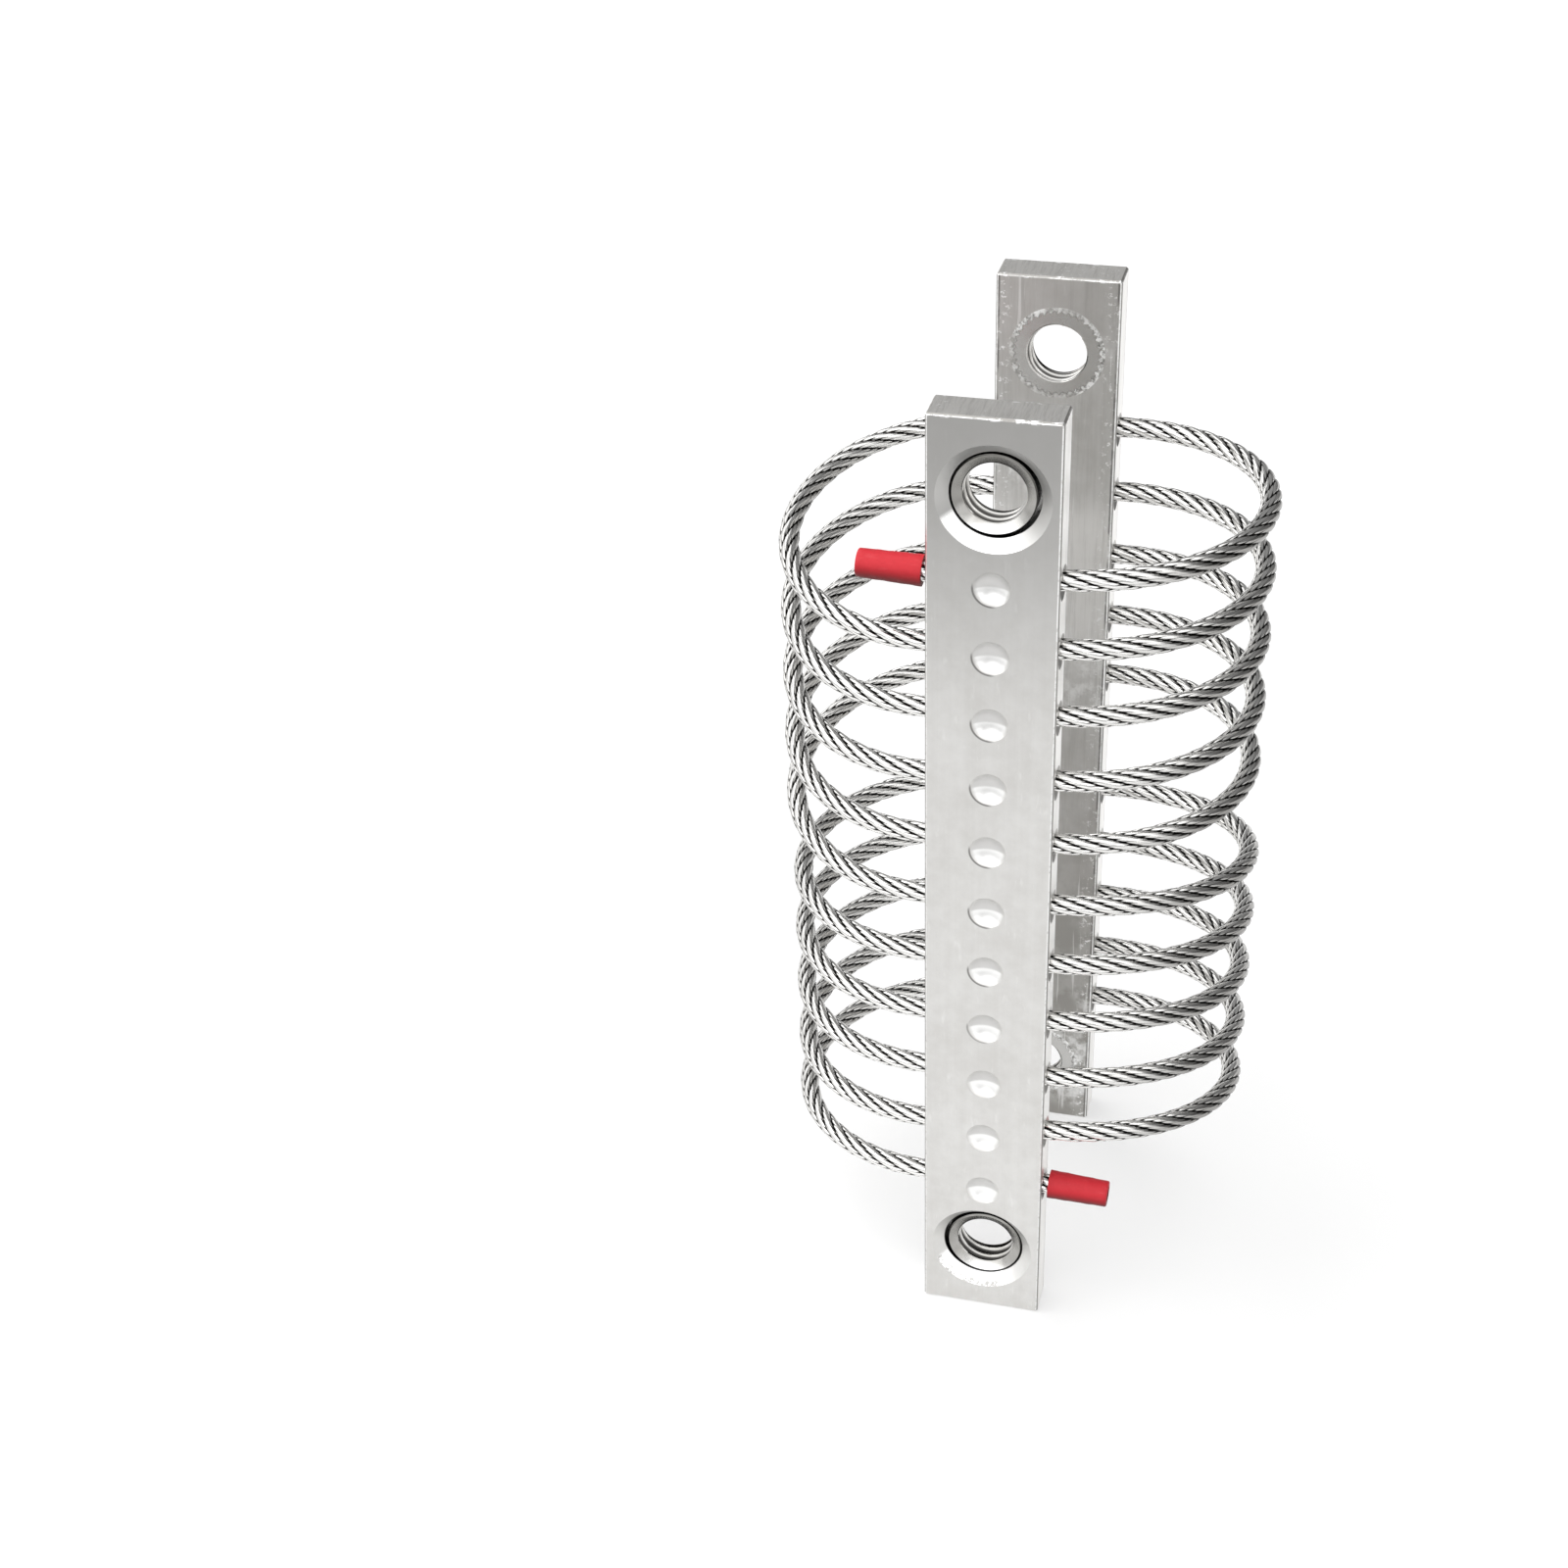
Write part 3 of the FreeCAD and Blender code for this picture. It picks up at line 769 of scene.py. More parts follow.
class Bench:
    """One mesh on the bench, shaped in edit mode as by hand."""

    def __init__(self, obj: bpy.types.Object, name: str) -> None:
        """Take a new primitive and put its place into its mesh."""
        self.obj = obj
        obj.name = name
        obj.data.name = name
        bpy.ops.object.transform_apply(location=True, rotation=True, scale=True)

    @classmethod
    def cylinder(cls, name: str, radius: float, depth: float, sides: int, start: float) -> "Bench":
        """A capped cylinder along X.

        Args:
            name: the piece's name.
            radius: in mm.
            depth: in mm, towards +X.
            sides: how many sides it has.
            start: where it starts along X, in mm.

        Returns:
            The mesh on the bench.
        """
        bpy.ops.object.select_all(action="DESELECT")
        bpy.ops.mesh.primitive_cylinder_add(
            vertices=sides,
            radius=radius * MM,
            depth=depth * MM,
            location=((start + depth / 2) * MM, 0, 0),
            rotation=(0, math.pi / 2, 0),
        )
        return cls(bpy.context.object, name)

    def pick(self, wanted: Callable[[Vector, Vector], bool]) -> None:
        """Select the faces whose middle, in mm, and normal the test wants."""
        bpy.ops.object.mode_set(mode="EDIT")
        bpy.ops.mesh.select_mode(type="FACE")
        bpy.ops.mesh.select_all(action="DESELECT")
        mesh = bmesh.from_edit_mesh(self.obj.data)
        for face in mesh.faces:
            if wanted(face.calc_center_median() / MM, face.normal):
                face.select_set(True)
        bmesh.update_edit_mesh(self.obj.data)

    def pick_end(self, x: float, direction: int) -> None:
        """Select the end face on the axis at x, in mm, that looks along the direction."""
        self.pick(lambda middle, normal: abs(middle.x - x) < 0.01 and normal.x * direction > 0.9
                  and middle.yz.length < 0.01)

    def pick_both_ends(self) -> None:
        """Select the two faces that close the bore."""
        self.pick(lambda middle, normal: middle.yz.length < 0.01 and abs(normal.x) > 0.9)

    def inset(self, thickness: float) -> None:
        """Draw a smaller outline inside the selected face; mm."""
        bpy.ops.mesh.inset(thickness=thickness * MM, depth=0.0)

    def push(self, distance: float) -> None:
        """Extrude the selected face along X; mm."""
        bpy.ops.mesh.extrude_region_move(TRANSFORM_OT_translate={"value": (distance * MM, 0, 0)})

    def taper(self, ratio: float, centre: Vector) -> None:
        """Scale the selection across X about a centre in mm."""
        bpy.ops.transform.resize(value=(1.0, ratio, ratio), center_override=centre * MM)

    def step(self, distance: float, ratio: float, x: float) -> None:
        """Extrude by a distance and scale what was extruded about the X axis at x; mm."""
        self.push(distance)
        self.taper(ratio, Vector((x, 0, 0)))

    def shift(self, distance: float) -> None:
        """Move the selection along X; mm."""
        bpy.ops.transform.translate(value=(distance * MM, 0, 0))

    def bridge(self) -> None:
        """Join the two selected end faces by a tunnel."""
        bpy.ops.mesh.bridge_edge_loops()

    def done(self, smooth_under: float) -> bpy.types.Object:
        """Leave edit mode with clean normals and smooth shading under an angle in degrees."""
        bpy.ops.mesh.select_all(action="SELECT")
        bpy.ops.mesh.remove_doubles(threshold=0.000001)
        bpy.ops.mesh.normals_make_consistent(inside=False)
        bpy.ops.object.mode_set(mode="OBJECT")
        bpy.ops.object.select_all(action="DESELECT")
        self.obj.select_set(True)
        bpy.context.view_layer.objects.active = self.obj
        bpy.ops.object.shade_smooth_by_angle(angle=math.radians(smooth_under))
        return self.obj


def carried(mesh: bpy.types.Mesh, name: str, values: np.ndarray) -> None:
    """Store one number per point on a mesh for its finish."""
    attribute = mesh.attributes.new(name, "FLOAT", "POINT")
    attribute.data.foreach_set("value", np.ascontiguousarray(values, dtype=np.float32))


def points_of(mesh: bpy.types.Mesh) -> np.ndarray:
    """A mesh's points as an array, in mm."""
    flat = np.empty(len(mesh.vertices) * 3, dtype=np.float32)
    mesh.vertices.foreach_get("co", flat)
    return flat.reshape(-1, 3).astype(float) / MM


def set_points(mesh: bpy.types.Mesh, points: np.ndarray) -> None:
    """Write points, in mm, back to a mesh."""
    mesh.vertices.foreach_set("co", np.ascontiguousarray(points * MM, dtype=np.float32).ravel())
    mesh.update()


def radii(points: np.ndarray) -> np.ndarray:
    """How far each point lies from the X axis."""
    return np.hypot(points[:, 1], points[:, 2])


def ramp(values: np.ndarray, start: float, over: float) -> np.ndarray:
    """Straight rise from 0 at start to 1 after the distance over."""
    return np.clip((values - start) / over, 0, 1)


def tube(name: str, verts: np.ndarray, rows: int) -> bpy.types.Mesh:
    """Close equal rows of points, in mm, into a smooth tube with flat ends."""
    count = len(verts) // rows
    starts = np.arange(rows - 1)[:, None] * count
    here = (starts + np.arange(count)).ravel()
    after = (starts + (np.arange(count) + 1) % count).ravel()
    faces = np.stack([here, after, after + count, here + count], 1).tolist()
    faces.append(list(range(count))[::-1])
    faces.append(list(range((rows - 1) * count, rows * count)))
    mesh = bpy.data.meshes.new(name)
    mesh.from_pydata((verts * MM).tolist(), [], faces)
    mesh.polygons.foreach_set("use_smooth", [True] * (len(faces) - 2) + [False] * 2)
    return mesh


def dress(piece: bpy.types.Object, finish: bpy.types.Material) -> None:
    """Give a piece its one finish."""
    piece.data.materials.clear()
    piece.data.materials.append(finish)


def twin(model: bpy.types.Object, name: str) -> bpy.types.Object:
    """Put a copy of a model, with its own mesh, into the scene."""
    copy = model.copy()
    copy.data = model.data.copy()
    copy.name = name
    bpy.context.scene.collection.objects.link(copy)
    return copy


def set_on_face(piece: bpy.types.Object, face: float, height: float, looks: int) -> None:
    """Set a piece that was made along X on a bar's face.

    Args:
        piece: the piece.
        face: where the face lies along Y, in mm.
        height: how high the piece goes, in mm.
        looks: 1 where the face looks along +Y, otherwise -1.
    """
    turn = Matrix.Rotation(looks * math.pi / 2, 4, "Z")
    piece.data.transform(Matrix.Translation(Vector((0, face, height)) * MM) @ turn)


@dataclass
class Bars:
    """The two laced bars. Their CAD solids have the real form and get their finish."""

    finish: SatinAluminium = field(default_factory=SatinAluminium)

    def build(self) -> list[bpy.types.Object]:
        """Dress both bars and return them."""
        made = []
        for side, _, word in SIDES:
            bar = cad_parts[f"{word}_bar"]
            dress(bar, self.finish.material(f"{word}_bar_satin_aluminium", side))
            made.append(bar)
        return made


@dataclass(frozen=True)
class SerratedRim:
    """The flange's toothed outline, which the nut and the bar metal round it share."""

    radius: float = 6.45
    teeth: int = 38
    depth: float = 0.5
    sides_per_tooth: int = 6

    @property
    def sides(self) -> int:
        """How many sides a cylinder needs to show every tooth."""
        return self.teeth * self.sides_per_tooth

    def notch(self, points: np.ndarray) -> np.ndarray:
        """How far the outline is cut in at each point's angle about X, in mm."""
        angle = np.arctan2(points[:, 2], points[:, 1])
        phase = np.mod(angle * self.teeth / (2 * math.pi), 1.0)
        return self.depth * (1 - np.abs(2 * phase - 1))


@dataclass
class PressNuts:
    """The four press-in nuts: serrated flange, dished shank end and a real M10 thread."""

    length: float = 4.35
    rim: SerratedRim = field(default_factory=SerratedRim)
    flange_depth: float = 1.3
    rim_break: float = 0.10
    shank: float = 5.78
    bevel: float = 0.2
    dish: float = 0.6
    entry: float = 4.5
    land: float = 4.3
    land_depth: float = 0.2
    major: float = 5.0
    minor: float = 4.2
    pitch: float = 1.5
    turns: int = 4
    steps: int = 96
    run_in: float = 0.7
    sunk_root: float = 0.05
    leans: tuple[tuple[float, float], ...] = ((0.25, -0.08), (-0.15, -0.25))
    finish: TurnedSteel = field(default_factory=TurnedSteel)

    def hollow(self, bench: Bench, x: float, direction: int) -> None:
        """Open the bore behind a selected end: its entry, a narrow land, then the thread's root.

        Args:
            bench: the nut, with the disc inside the entry selected.
            x: where that disc is, in mm.
            direction: 1 where the bore goes on towards +X, otherwise -1.
        """
        behind = x + direction * self.land_depth
        bench.step(direction * self.land_depth, self.land / self.entry, behind)
        bench.step(0.0, self.major / self.land, behind)

    def shell(self) -> bpy.types.Object:
        """The nut without its thread, along X, its flange face at 0 and its shank towards -X."""
        flange = self.rim.radius
        bench = Bench.cylinder("press_nut", flange, self.flange_depth, self.rim.sides, -self.flange_depth)
        bench.pick_end(0.0, 1)
        bench.step(0.0, 1 - self.rim_break / flange, 0.0)
        bench.inset(flange - self.rim_break - self.entry)
        self.hollow(bench, 0.0, -1)
        bench.pick_end(-self.flange_depth, -1)
        bench.inset(flange - self.shank)
        bench.push(self.flange_depth + self.bevel - self.length)
        bench.step(-self.bevel, 1 - self.bevel / self.shank, -self.length)
        bench.inset(self.shank - self.bevel - self.entry)
        bench.shift(self.dish)
        self.hollow(bench, self.dish - self.length, 1)
        bench.pick_both_ends()
        bench.bridge()
        nut = bench.done(28.0)
        self.serrate(nut.data)
        return nut

    def serrate(self, mesh: bpy.types.Mesh) -> None:
        """Press the flange's rim into teeth."""
        points = points_of(mesh)
        radius = radii(points)
        outer = radius > self.shank + 0.1
        cut = np.where(outer, self.rim.notch(points), 0.0)
        points[:, 1:] *= (1 - cut / np.maximum(radius, 0.1))[:, None]
        set_points(mesh, points)

    def thread(self) -> bpy.types.Object:
        """The thread's ridge between the two lands."""
        bpy.ops.object.select_all(action="DESELECT")
        bpy.ops.mesh.primitive_plane_add(size=MM)
        bench = Bench(bpy.context.object, "press_nut_thread")
        root = self.pitch * 7 / 16
        crest = self.pitch / 14
        outer = self.major + self.sunk_root
        section = [(-root, outer), (-crest, self.minor), (crest, self.minor), (root, outer)]
        start = self.pitch * self.run_in
        ring = sorted(bench.obj.data.vertices, key=lambda v: math.atan2(v.co.y, v.co.x))
        for vertex, (along, out) in zip(ring, section):
            vertex.co = Vector((start + along, out, 0)) * MM
        screw = bench.obj.modifiers.new("thread", "SCREW")
        screw.axis = "X"
        screw.screw_offset = -self.pitch * MM
        screw.angle = -2 * math.pi
        screw.steps = self.steps
        screw.render_steps = self.steps
        screw.iterations = self.turns
        bpy.ops.object.modifier_apply(modifier=screw.name)
        bpy.ops.object.mode_set(mode="EDIT")
        ridge = bench.done(28.0)
        points = points_of(ridge.data)
        inside = self.land_depth / 2
        points[:, 0] = np.clip(points[:, 0], self.dish + inside - self.length, -inside)
        radius = radii(points)
        depth = np.minimum(-points[:, 0], points[:, 0] + self.length - self.dish)
        trimmed = np.maximum(radius, np.where(depth < self.land_depth, self.land + 0.02, 0.0))
        points[:, 1:] *= (trimmed / radius)[:, None]
        set_points(ridge.data, points)
        return ridge

    def lean(self, mesh: bpy.types.Mesh, over: tuple[float, float]) -> None:
        """Let the shank sit a little to one side of its seat; mm across the axis."""
        points = points_of(mesh)
        radius = radii(points)
        share = np.where(radius < self.shank + 0.1, ramp(-points[:, 0], 0.0, self.flange_depth), 0.0)
        points[:, 1:] += share[:, None] * np.array(over)
        set_points(mesh, points)

    def mark(self, mesh: bpy.types.Mesh) -> None:
        """Store each point's radius, height and depth for the finish, and how near the root it is."""
        points = points_of(mesh)
        radius = radii(points)
        depth = -points[:, 0]
        bottom = self.length - self.dish - self.land_depth
        in_bore = (radius < self.major + 0.2) & (depth > 0.75 * self.land_depth) & (depth < bottom + 0.01)
        carried(mesh, "root", np.where(in_bore, (radius - self.minor) / (self.major - self.minor), 0.0))
        carried(mesh, "radius", radius)
        carried(mesh, "above", points[:, 2] / self.shank)
        carried(mesh, "depth", depth)

    def build(self) -> list[bpy.types.Object]:
        """Model one nut, copy it to its four seats and return the copies."""
        nut = self.shell()
        ridge = self.thread()
        bpy.ops.object.select_all(action="DESELECT")
        ridge.select_set(True)
        nut.select_set(True)
        bpy.context.view_layer.objects.active = nut
        bpy.ops.object.join()
        self.mark(nut.data)
        dress(nut, self.finish.material("zinc_plated_steel"))
        made = []
        for side, body, word in SIDES:
            for (level, height), over in zip(BAR.nut_seats, self.leans):
                copy = twin(nut, f"{word}_{level}_press_nut")
                self.lean(copy.data, over)
                set_on_face(copy, side * BAR.inner_face, height, -side)
                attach(copy, body)
                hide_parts(f"{word}_{level}_insert")
                made.append(copy)
        bpy.data.objects.remove(nut)
        return made


@dataclass
class PressedRims:
    """Bar metal squeezed into the nuts' serrations when they were pressed home."""

    rim: SerratedRim = field(default_factory=SerratedRim)
    gap: float = 0.05
    outer: float = 6.95
    slope: float = 0.22
    crown: float = 0.035
    depth: float = 0.45
    finish: CrushedAluminium = field(default_factory=CrushedAluminium)

    def ring(self) -> bpy.types.Object:
        """One raised ring along X, with a toothed bore that fits round the flange."""
        bench = Bench.cylinder("pressed_rim", self.outer, self.depth, self.rim.sides, -self.depth)
        bench.pick_end(0.0, 1)
        bench.step(self.crown, 1 - self.slope / self.outer, self.crown)
        for x, direction, wide in ((self.crown, 1, self.outer - self.slope), (-self.depth, -1, self.outer)):
            bench.pick_end(x, direction)
            bench.inset(wide - self.rim.radius)
        bench.pick_both_ends()
        bench.bridge()
        ring = bench.done(28.0)
        points = points_of(ring.data)
        radius = radii(points)
        bore = radius < self.rim.radius + 0.05
        aim = np.where(bore, self.rim.radius + self.gap - self.rim.notch(points), radius)
        points[:, 1:] *= (aim / radius)[:, None]
        set_points(ring.data, points)
        return ring

    def build(self) -> list[bpy.types.Object]:
        """Model one ring, copy it round the four flanges and return the copies."""
        ring = self.ring()
        dress(ring, self.finish.material("crushed_aluminium"))
        made = []
        for side, body, word in SIDES:
            for level, height in BAR.nut_seats:
                copy = twin(ring, f"{word}_{level}_pressed_rim")
                set_on_face(copy, side * BAR.inner_face, height, -side)
                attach(copy, body)
                made.append(copy)
        bpy.data.objects.remove(ring)
        return made


@dataclass
class CrimpDimples:
    """Round-nosed punch marks in the bars' outer faces, one over each pass of the rope."""

    radius: float = 2.56
    depth: float = 1.1
    back: float = 1.14
    recess: float = 0.002
    sides: int = 48
    rings: int = 10

    def plug(self) -> bpy.types.Object:
        """One dimple along X: a disc whose outer end is hollowed like part of a ball."""
        bench = Bench.cylinder("crimp_dimple", self.radius, self.back, self.sides, -self.back - self.recess)
        bench.pick_end(-self.recess, 1)
        ball = (self.radius ** 2 + self.depth ** 2) / (2 * self.depth)
        opening = math.asin(self.radius / ball)
        angles = [opening * (1 - k / self.rings) for k in range(self.rings)] + [opening * 0.03]
        for angle, following in zip(angles, angles[1:]):
            bench.inset(ball * (math.sin(angle) - math.sin(following)))
            bench.shift(ball * (math.cos(angle) - math.cos(following)))
        return bench.done(60.0)

    def build(self) -> list[bpy.types.Object]:
        """Model one dimple, copy it along both bars and return one piece for each bar."""
        plug = self.plug()
        made = []
        for side, body, word in SIDES:
            dress(plug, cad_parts[f"{word}_bar"].data.materials[0])
            bpy.ops.object.select_all(action="DESELECT")
            for number in range(BAR.holes):
                if side > 0 and number == BAR.holes // 2:
                    continue
                copy = twin(plug, plug.name)
                set_on_face(copy, side * BAR.outer_face, BAR.first_mark + number * BAR.pitch, side)
                copy.select_set(True)
                bpy.context.view_layer.objects.active = copy
            bpy.ops.object.join()
            row = bpy.context.object
            row.name = f"{word}_crimp_dimples"
            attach(row, body)
            made.append(row)
        bpy.data.objects.remove(plug)
        return made


@dataclass
class RopeLine:
    """The rope's centre line: straight passes through the bars and open half-round loops."""

    slant: float = 2.5
    straight: float = 0.3
    sleeve_gap: float = 0.8
    covered: float = 7.2
    tail_bend: float = 4.5
    bend_radius: float = 40.0
    bend_start: float = 5.6
    spacing: float = 0.9

    @staticmethod
    def heading(degrees: float) -> np.ndarray:
        """The direction towards +X that rises by an angle."""
        lean = math.radians(degrees)
        return np.array([math.cos(lean), 0.0, math.sin(lean)])

    @property
    def along(self) -> np.ndarray:
        """The direction of every pass towards +X."""
        return self.heading(self.slant)

    @property
    def tail_slant(self) -> float:
        """How much a free end rises towards +X, in degrees."""
        return self.slant - self.tail_bend

    def bend_end(self) -> np.ndarray:
        """Where the bend in a free end on the right is over, from the middle of its pass."""
        start = self.along * self.bend_start
        swung = self.heading(self.tail_slant + 90) - self.heading(self.slant + 90)
        return start + self.bend_radius * swung

    def foot(self) -> np.ndarray:
        """Where the sleeve on the right starts, from the middle of its pass."""
        straight = BAR.half_width + self.sleeve_gap - self.bend_end()[0]
        way = self.heading(self.tail_slant)
        return self.bend_end() + way * straight / way[0]

    def tail(self) -> tuple[np.ndarray, np.ndarray]:
        """Points and directions of a free end on the right, from the middle of its pass."""
        count = 4
        leans = [self.slant - self.tail_bend * k / count for k in range(count)]
        start = self.along * self.bend_start - self.bend_radius * self.heading(self.slant + 90)
        bend = np.array([start + self.bend_radius * self.heading(lean + 90) for lean in leans])
        way = self.heading(self.tail_slant)
        tip = self.foot() + way * self.covered
        straight, ways = self.run(self.bend_end(), tip)
        points = np.concatenate([bend, straight, tip[None]])
        return points, np.concatenate([[self.heading(lean) for lean in leans], ways, way[None]])

    def passes(self) -> list[np.ndarray]:
        """Middles of the passes in the order they are laced, in mm."""
        heights = [BAR.first_hole + BAR.pitch * k for k in range(BAR.holes)][::-1]
        front = [np.array([0.0, -BAR.offset, z]) for z in heights]
        middle = BAR.holes // 2
        rear = [np.array([0.0, BAR.offset, z]) for k, z in enumerate(heights) if k != middle]
        laced: list[np.ndarray] = []
        for ahead, behind in zip(front, rear):
            laced += [ahead, behind]
        return laced + [front[-1]]

    def run(self, start: np.ndarray, end: np.ndarray) -> tuple[np.ndarray, np.ndarray]:
        """Points and directions on a straight stretch, without its last point."""
        span = end - start
        length = float(np.linalg.norm(span))
        count = max(1, round(length / self.spacing))
        share = np.arange(count)[:, None] / count
        return start + share * span, np.repeat((span / length)[None], count, 0)

    def loop(self, start: np.ndarray, end: np.ndarray, out: np.ndarray) -> tuple[np.ndarray, np.ndarray]:
        """Points and directions on a half circle that bulges along out."""
        middle = (start + end) / 2
        radius = float(np.linalg.norm(end - start)) / 2
        arm = (start - middle) / radius
        count = max(8, round(math.pi * radius / self.spacing))
        angle = (np.arange(count) * math.pi / count)[:, None]
        points = middle + radius * (np.cos(angle) * arm + np.sin(angle) * out)
        return points, -np.sin(angle) * arm + np.cos(angle) * out

    def trace(self) -> tuple[np.ndarray, np.ndarray]:
        """The whole line.

        Returns:
            Its points in mm and its directions.
        """
        lean = math.cos(math.radians(self.slant))
        reach = (BAR.half_width + self.straight) / lean
        tail, ways = self.tail()
        laced = self.passes()
        heading = 1.0
        here = laced[0] - tail[0]
        parts = [(laced[0] - tail[:0:-1], ways[:0:-1])]
        for current, following in zip(laced, laced[1:]):
            extra = float((following - current) @ self.along) * heading
            leave = current + self.along * heading * (reach + max(extra, 0.0))
            arrive = following + self.along * heading * (reach + max(-extra, 0.0))
            parts.append(self.run(here, leave))
            parts.append(self.loop(leave, arrive, self.along * heading))
            here = arrive
            heading = -heading
        parts.append(self.run(here, laced[-1] + tail[0]))
        parts.append((laced[-1] + tail, ways))
        return np.concatenate([p for p, _ in parts]), np.concatenate([d for _, d in parts])

    @staticmethod
    def untwisted(points: np.ndarray, ways: np.ndarray) -> np.ndarray:
        """A side direction that is carried along the line without turning about it."""
        side = np.empty_like(points)
        side[0] = np.cross(ways[0], [0.0, 1.0, 0.0])
        side[0] /= np.linalg.norm(side[0])
        for index in range(len(points) - 1):
            chord = points[index + 1] - points[index]
            square = chord @ chord
            mirrored = side[index] - 2 / square * (chord @ side[index]) * chord
            way = ways[index] - 2 / square * (chord @ ways[index]) * chord
            turn = ways[index + 1] - way
            size = turn @ turn
            side[index + 1] = mirrored - (2 / size * (turn @ mirrored) * turn if size > 1e-12 else 0.0)
        return side


@dataclass
class WireRope:
    """Six fluted strands laid right-handed round a core strand, along the whole lacing."""

    line: RopeLine = field(default_factory=RopeLine)
    strands: int = 6
    lay: float = 20.0
    strand_radius: float = 0.5
    wires: int = 6
    wire_lay: float = 7.6
    across_wire: int = 4
    flattened: float = 0.62
    finish: StrandSteel = field(default_factory=StrandSteel)

    def section(self) -> tuple[np.ndarray, np.ndarray]:
        """Angles and radii round a strand, one swell for each of its outer wires."""
        count = self.wires * self.across_wire
        angle = np.arange(count) * 2 * math.pi / count
        swell = np.array([0.95, 0.985, 1.0, 0.985])
        return angle, self.strand_radius * np.tile(swell, self.wires)

    def rounded(self, arms: np.ndarray, faces_out: np.ndarray) -> np.ndarray:
        """Bring a strand's outward side nearer to the rope's round outline.

        Args:
            arms: from the rope's centre line to each point of the strand.
            faces_out: how far each point faces away from the rope, from -1 to 1.

        Returns:
            The arms with their new lengths.
        """
        reach = np.linalg.norm(arms, axis=2)
        share = ramp(faces_out, -0.3, 0.8)
        drawn = self.flattened * share ** 2 * (3 - 2 * share)
        return arms * (1 + (3 * self.strand_radius - reach) * drawn / reach)[..., None]

    @staticmethod
    def side_shade_mask(x: np.ndarray, turned: np.ndarray) -> np.ndarray:
        """How much painted shade each point of the loops' flanks gets.

        Args:
            x: each point's place across the isolator, in mm.
            turned: how far it faces +X, from -1 to 1.

        Returns:
            A share from 0 to 1.
        """
        on_right = ramp(x, 12.0, 14.0)
        on_left = ramp(-x, 20.0, 12.0)
        to_right = np.clip(turned * 1.4 - 0.1, 0, 1) * np.maximum(on_right, 0.6 * on_left)
        return to_right + 0.62 * np.clip(turned * -1.3, 0, 1) * on_left

    def strand(
        self,
        name: str,
        points: np.ndarray,
        ways: np.ndarray,
        sides: np.ndarray,
        run: np.ndarray,
        number: int | None,
    ) -> bpy.types.Object:
        """Sweep one strand.

        Args:
            name: the piece's name.
            points: the rope's centre line.
            ways: its directions.
            sides: its untwisted side directions.
            run: length along it at each point.
            number: which outer strand it is, or None for the core.

        Returns:
            The strand's mesh object.
        """
        other = np.cross(ways, sides)
        share = 0.0 if number is None else number / self.strands
        turn = 2 * math.pi * (run / self.lay + share)
        outward = np.cos(turn)[:, None] * sides + np.sin(turn)[:, None] * other
        around = -np.sin(turn)[:, None] * sides + np.cos(turn)[:, None] * other
        arm = 0.0 if number is None else 2 * self.strand_radius
        centre = points + arm * outward
        way = ways + 2 * math.pi * arm / self.lay * around
        way /= np.linalg.norm(way, axis=1)[:, None]
        across = np.cross(way, outward)
        angle, radius = self.section()
        spun = angle[None, :] - (2 * math.pi * run / self.wire_lay)[:, None]
        ring = (np.cos(spun) * radius)[..., None] * outward[:, None] + (
            np.sin(spun) * radius)[..., None] * across[:, None]
        arms = centre[:, None] + ring - points[:, None]
        if number is not None:
            arms = self.rounded(arms, np.cos(spun))
        verts = (points[:, None] + arms).reshape(-1, 3)
        mesh = tube(name, verts, len(points))
        valley = np.tile(np.array([0.55, 0.9, 1.0, 0.9]), self.wires)
        lies_open = (np.cos(spun) * 0.5 + 0.5) * valley[None] if number is not None else 0.15 + 0 * spun
        carried(mesh, "lies_open", np.clip(lies_open * 1.5 - 0.35, 0, 1).ravel())
        carried(mesh, "run", np.repeat(run, len(angle)))
        turned = (arms[..., 0] / np.linalg.norm(arms, axis=2)).ravel()
        # Each point's share of painted side shade.
        carried(mesh, "side_shade_share", self.side_shade_mask(verts[:, 0], turned))
        mesh.update()
        obj = bpy.data.objects.new(name, mesh)
        bpy.context.scene.collection.objects.link(obj)
        return obj

    def build(self) -> list[bpy.types.Object]:
        """Lay all strands and return them."""
        points, ways = self.line.trace()
        sides = self.line.untwisted(points, ways)
        run = np.concatenate([[0.0], np.cumsum(np.linalg.norm(np.diff(points, axis=0), axis=1))])
        steel = self.finish.material("drawn_steel_wire")
        made = []
        for number in [*range(self.strands), None]:
            name = "rope_core_strand" if number is None else f"rope_strand_{number + 1}"
            strand = self.strand(name, points, ways, sides, run, number)
            strand.data.materials.append(steel)
            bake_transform(strand)
            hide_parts("wire_rope")
            made.append(strand)
        log.info("rope length %.1f mm", run[-1])
        return made


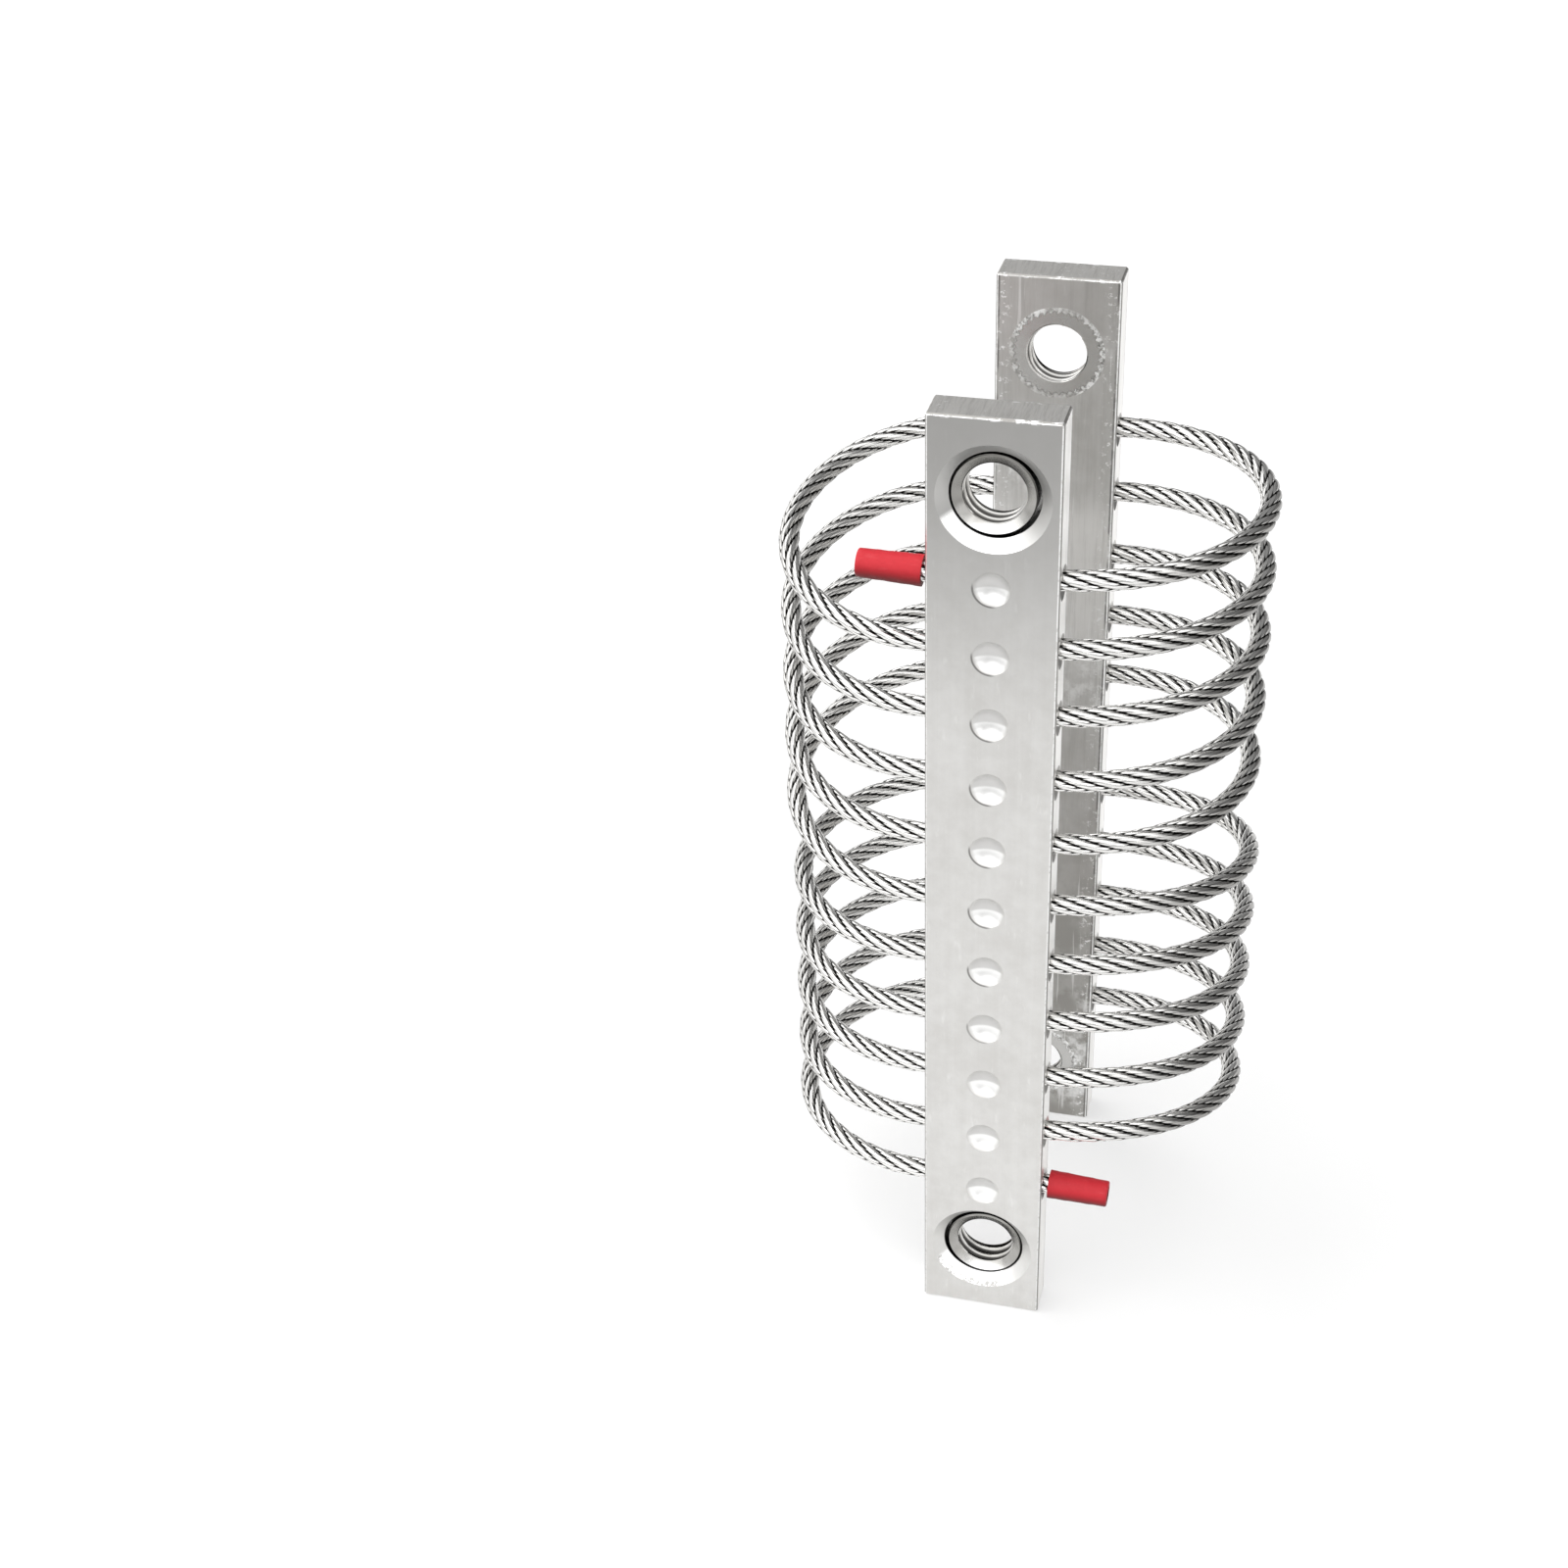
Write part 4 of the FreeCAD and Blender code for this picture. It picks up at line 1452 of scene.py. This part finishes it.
@dataclass
class EndSleeves:
    """The red sleeves shrunk over the rope's two ends."""

    length: float = 9.0
    radius: float = 2.2
    tip: float = 2.0
    mouth: float = 1.15
    rope_fit: float = 1.56
    lip: float = 0.22
    wall_start: float = 7.86
    line: RopeLine = field(default_factory=RopeLine)
    sides: int = 60
    rings: int = 14
    imprint: float = 0.028
    rounding: float = 0.02
    first_ring: float = 0.18
    swell: float = 0.016
    taper: float = 0.35
    foot_lip: float = 0.09
    lip_steps: tuple[tuple[float, float], ...] = ((0.6, 0.05), (0.4, 0.12))
    finish: SoftSleeve = field(default_factory=SoftSleeve)

    def shell(self) -> bpy.types.Object:
        """One sleeve along X, with rolled ends and the strands showing faintly through it."""
        foot = self.radius - self.rounding
        bench = Bench.cylinder("end_sleeve", foot, self.first_ring, self.sides, 0.0)
        bench.pick_end(self.first_ring, 1)
        pace = (self.length - self.lip - self.first_ring) / self.rings
        here, wide = self.first_ring, foot
        for number in range(1, self.rings + 1):
            here += pace
            swell = self.swell * math.sin(2.1 * number) * (number < self.rings)
            aim = foot + (self.tip - self.radius) * here / self.length + swell
            bench.step(pace, aim / wide, here)
            wide = aim
        for part, drop in self.lip_steps:
            here += self.lip * part
            bench.step(self.lip * part, 1 - drop / wide, here)
            wide -= drop
        bench.inset(wide - self.mouth)
        bench.push(self.wall_start + self.taper - self.length)
        bench.step(-self.taper, self.rope_fit / self.mouth, self.wall_start)
        bench.pick_end(0.0, -1)
        bench.inset(self.foot_lip)
        bench.inset(foot - self.foot_lip - self.rope_fit)
        bench.pick_both_ends()
        bench.bridge()
        sleeve = bench.done(40.0)
        points = points_of(sleeve.data)
        radius = radii(points)
        angle = np.arctan2(points[:, 2], points[:, 1])
        wave = np.cos(WireRope.strands * (angle - 2 * math.pi * points[:, 0] / WireRope.lay))
        outer = ramp(radius, self.radius - 0.4, 0.2)
        points[:, 1:] *= (1 - self.imprint * (0.5 - 0.5 * wave) * outer / radius)[:, None]
        set_points(sleeve.data, points)
        return sleeve

    def mark_height(self, mesh: bpy.types.Mesh, foot: Vector) -> None:
        """Store how far each point lies above the sleeve's own axis, in radii."""
        points = points_of(mesh) - np.array(foot) / MM
        rise = math.tan(math.radians(self.line.tail_slant))
        carried(mesh, "above", (points[:, 2] - points[:, 0] * rise) / self.radius)

    def build(self) -> list[bpy.types.Object]:
        """Model one sleeve, copy it to both ends and return the copies."""
        sleeve = self.shell()
        dress(sleeve, self.finish.material("red_shrink_sleeve"))
        made = []
        passes = self.line.passes()
        lean = math.radians(self.line.tail_slant)
        for word, side, hole in (("upper", -1, passes[0]), ("lower", 1, passes[-1])):
            copy = twin(sleeve, f"{word}_sleeve")
            foot = Vector(hole + side * self.line.foot()) * MM
            turn = Matrix.Rotation(-lean + (math.pi if side < 0 else 0.0), 4, "Y")
            copy.data.transform(Matrix.Translation(foot) @ turn)
            self.mark_height(copy.data, foot)
            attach(copy, FRONT)
            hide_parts(f"{word}_end_sleeve")
            made.append(copy)
        bpy.data.objects.remove(sleeve)
        return made


@dataclass(frozen=True)
class Lamp:
    """One soft panel far away: where it shines from, how wide it looks in degrees, its level."""

    name: str
    comes_from: tuple[float, float, float]
    size: float
    level: float


@dataclass
class Studio:
    """Floor, light and camera."""

    azimuth: float = 15.91
    elevation: float = 32.69
    roll: float = -2.0
    distance: float = 397.9
    target: tuple[float, float, float] = (-36.9, 0.0, 75.3)
    focal_pixels: float = 2642.8
    image_pixels: float = 1600.0
    world_level: float = 0.25
    lamps: tuple[Lamp, ...] = (
        Lamp("front_key", (-0.20, -0.51, 0.84), 108.0, 2.45),
        Lamp("left_side", (-0.86, 0.18, 0.45), 90.0, 1.8),
        Lamp("low_right", (0.74, -0.62, 0.22), 46.0, 0.46),
    )
    floor: PaleFloor = field(default_factory=PaleFloor)

    def camera(self) -> bpy.types.Object:
        """The camera at the photograph's viewing angle."""
        turn, rise, roll = (math.radians(a) for a in (self.azimuth, self.elevation, self.roll))
        back = Vector((math.sin(turn) * math.cos(rise), -math.cos(turn) * math.cos(rise), math.sin(rise)))
        right = (-back).cross(Vector((0, 0, 1))).normalized()
        up = right.cross(-back)
        across = right * math.cos(roll) + up * math.sin(roll)
        upright = -right * math.sin(roll) + up * math.cos(roll)
        place = (Vector(self.target) + back * self.distance) * MM
        data = bpy.data.cameras.new("studio_camera")
        data.sensor_width = 36.0
        data.lens = data.sensor_width * self.focal_pixels / self.image_pixels
        data.clip_start = 0.01
        data.clip_end = 50.0
        made = bpy.data.objects.new("studio_camera", data)
        bpy.context.scene.collection.objects.link(made)
        axes = Matrix((across, upright, back)).transposed()
        made.matrix_world = Matrix.Translation(place) @ axes.to_4x4()
        bpy.context.scene.camera = made
        return made

    def light(self) -> None:
        """Put up the large soft panels."""
        for lamp in self.lamps:
            data = bpy.data.lights.new(lamp.name, "SUN")
            data.energy = lamp.level
            data.angle = math.radians(lamp.size)
            panel = bpy.data.objects.new(lamp.name, data)
            panel.rotation_mode = "QUATERNION"
            panel.rotation_quaternion = Vector(lamp.comes_from).to_track_quat("Z", "Y")
            panel.location = Vector(lamp.comes_from)
            bpy.context.scene.collection.objects.link(panel)

    def surround(self) -> None:
        """A plain even world: white to the camera, and to mirrors only low in front."""
        world = bpy.data.worlds.new("even_light")
        g = Graph(world)
        _, toward, height = g.axes(g.place())
        white = g.watched(toward.step(-250.0, -600.0) * height.step(120.0, 20.0))
        level = self.world_level + (1.0 - self.world_level) * white
        sky = g.node("ShaderNodeBackground", {}, {"Color": (1.0, 1.0, 1.0, 1.0), "Strength": level})
        g.node("ShaderNodeOutputWorld", {}, {"Surface": sky})
        bpy.context.scene.world = world

    def ground(self) -> bpy.types.Object:
        """The floor under the isolator."""
        bpy.ops.object.select_all(action="DESELECT")
        bpy.ops.mesh.primitive_plane_add(size=40.0)
        floor = bpy.context.object
        floor.name = "studio_floor"
        floor.data.materials.append(self.floor.material("pale_floor"))
        return floor

    def build(self) -> list[bpy.types.Object]:
        """Set the whole studio and return what is in it."""
        bpy.context.scene.view_settings.view_transform = "Standard"
        self.light()
        self.surround()
        return [self.ground(), self.camera()]


def report(title: str, made: Sequence[bpy.types.Object]) -> None:
    """Log each piece with its triangle count."""
    for obj in made:
        if obj.type == "MESH":
            obj.data.calc_loop_triangles()
            log.info("%s: %s, %d triangles", title, obj.name, len(obj.data.loop_triangles))
        else:
            log.info("%s: %s", title, obj.name)


def main() -> None:
    """Build the isolator piece by piece, then the studio."""
    logging.basicConfig(level=logging.INFO, format="%(message)s")
    report("bars", Bars().build())
    report("press nuts", PressNuts().build())
    report("pressed rims", PressedRims().build())
    report("crimp dimples", CrimpDimples().build())
    report("rope", WireRope().build())
    report("sleeves", EndSleeves().build())
    report("studio", Studio().build())


if __name__ == "__main__":
    main()
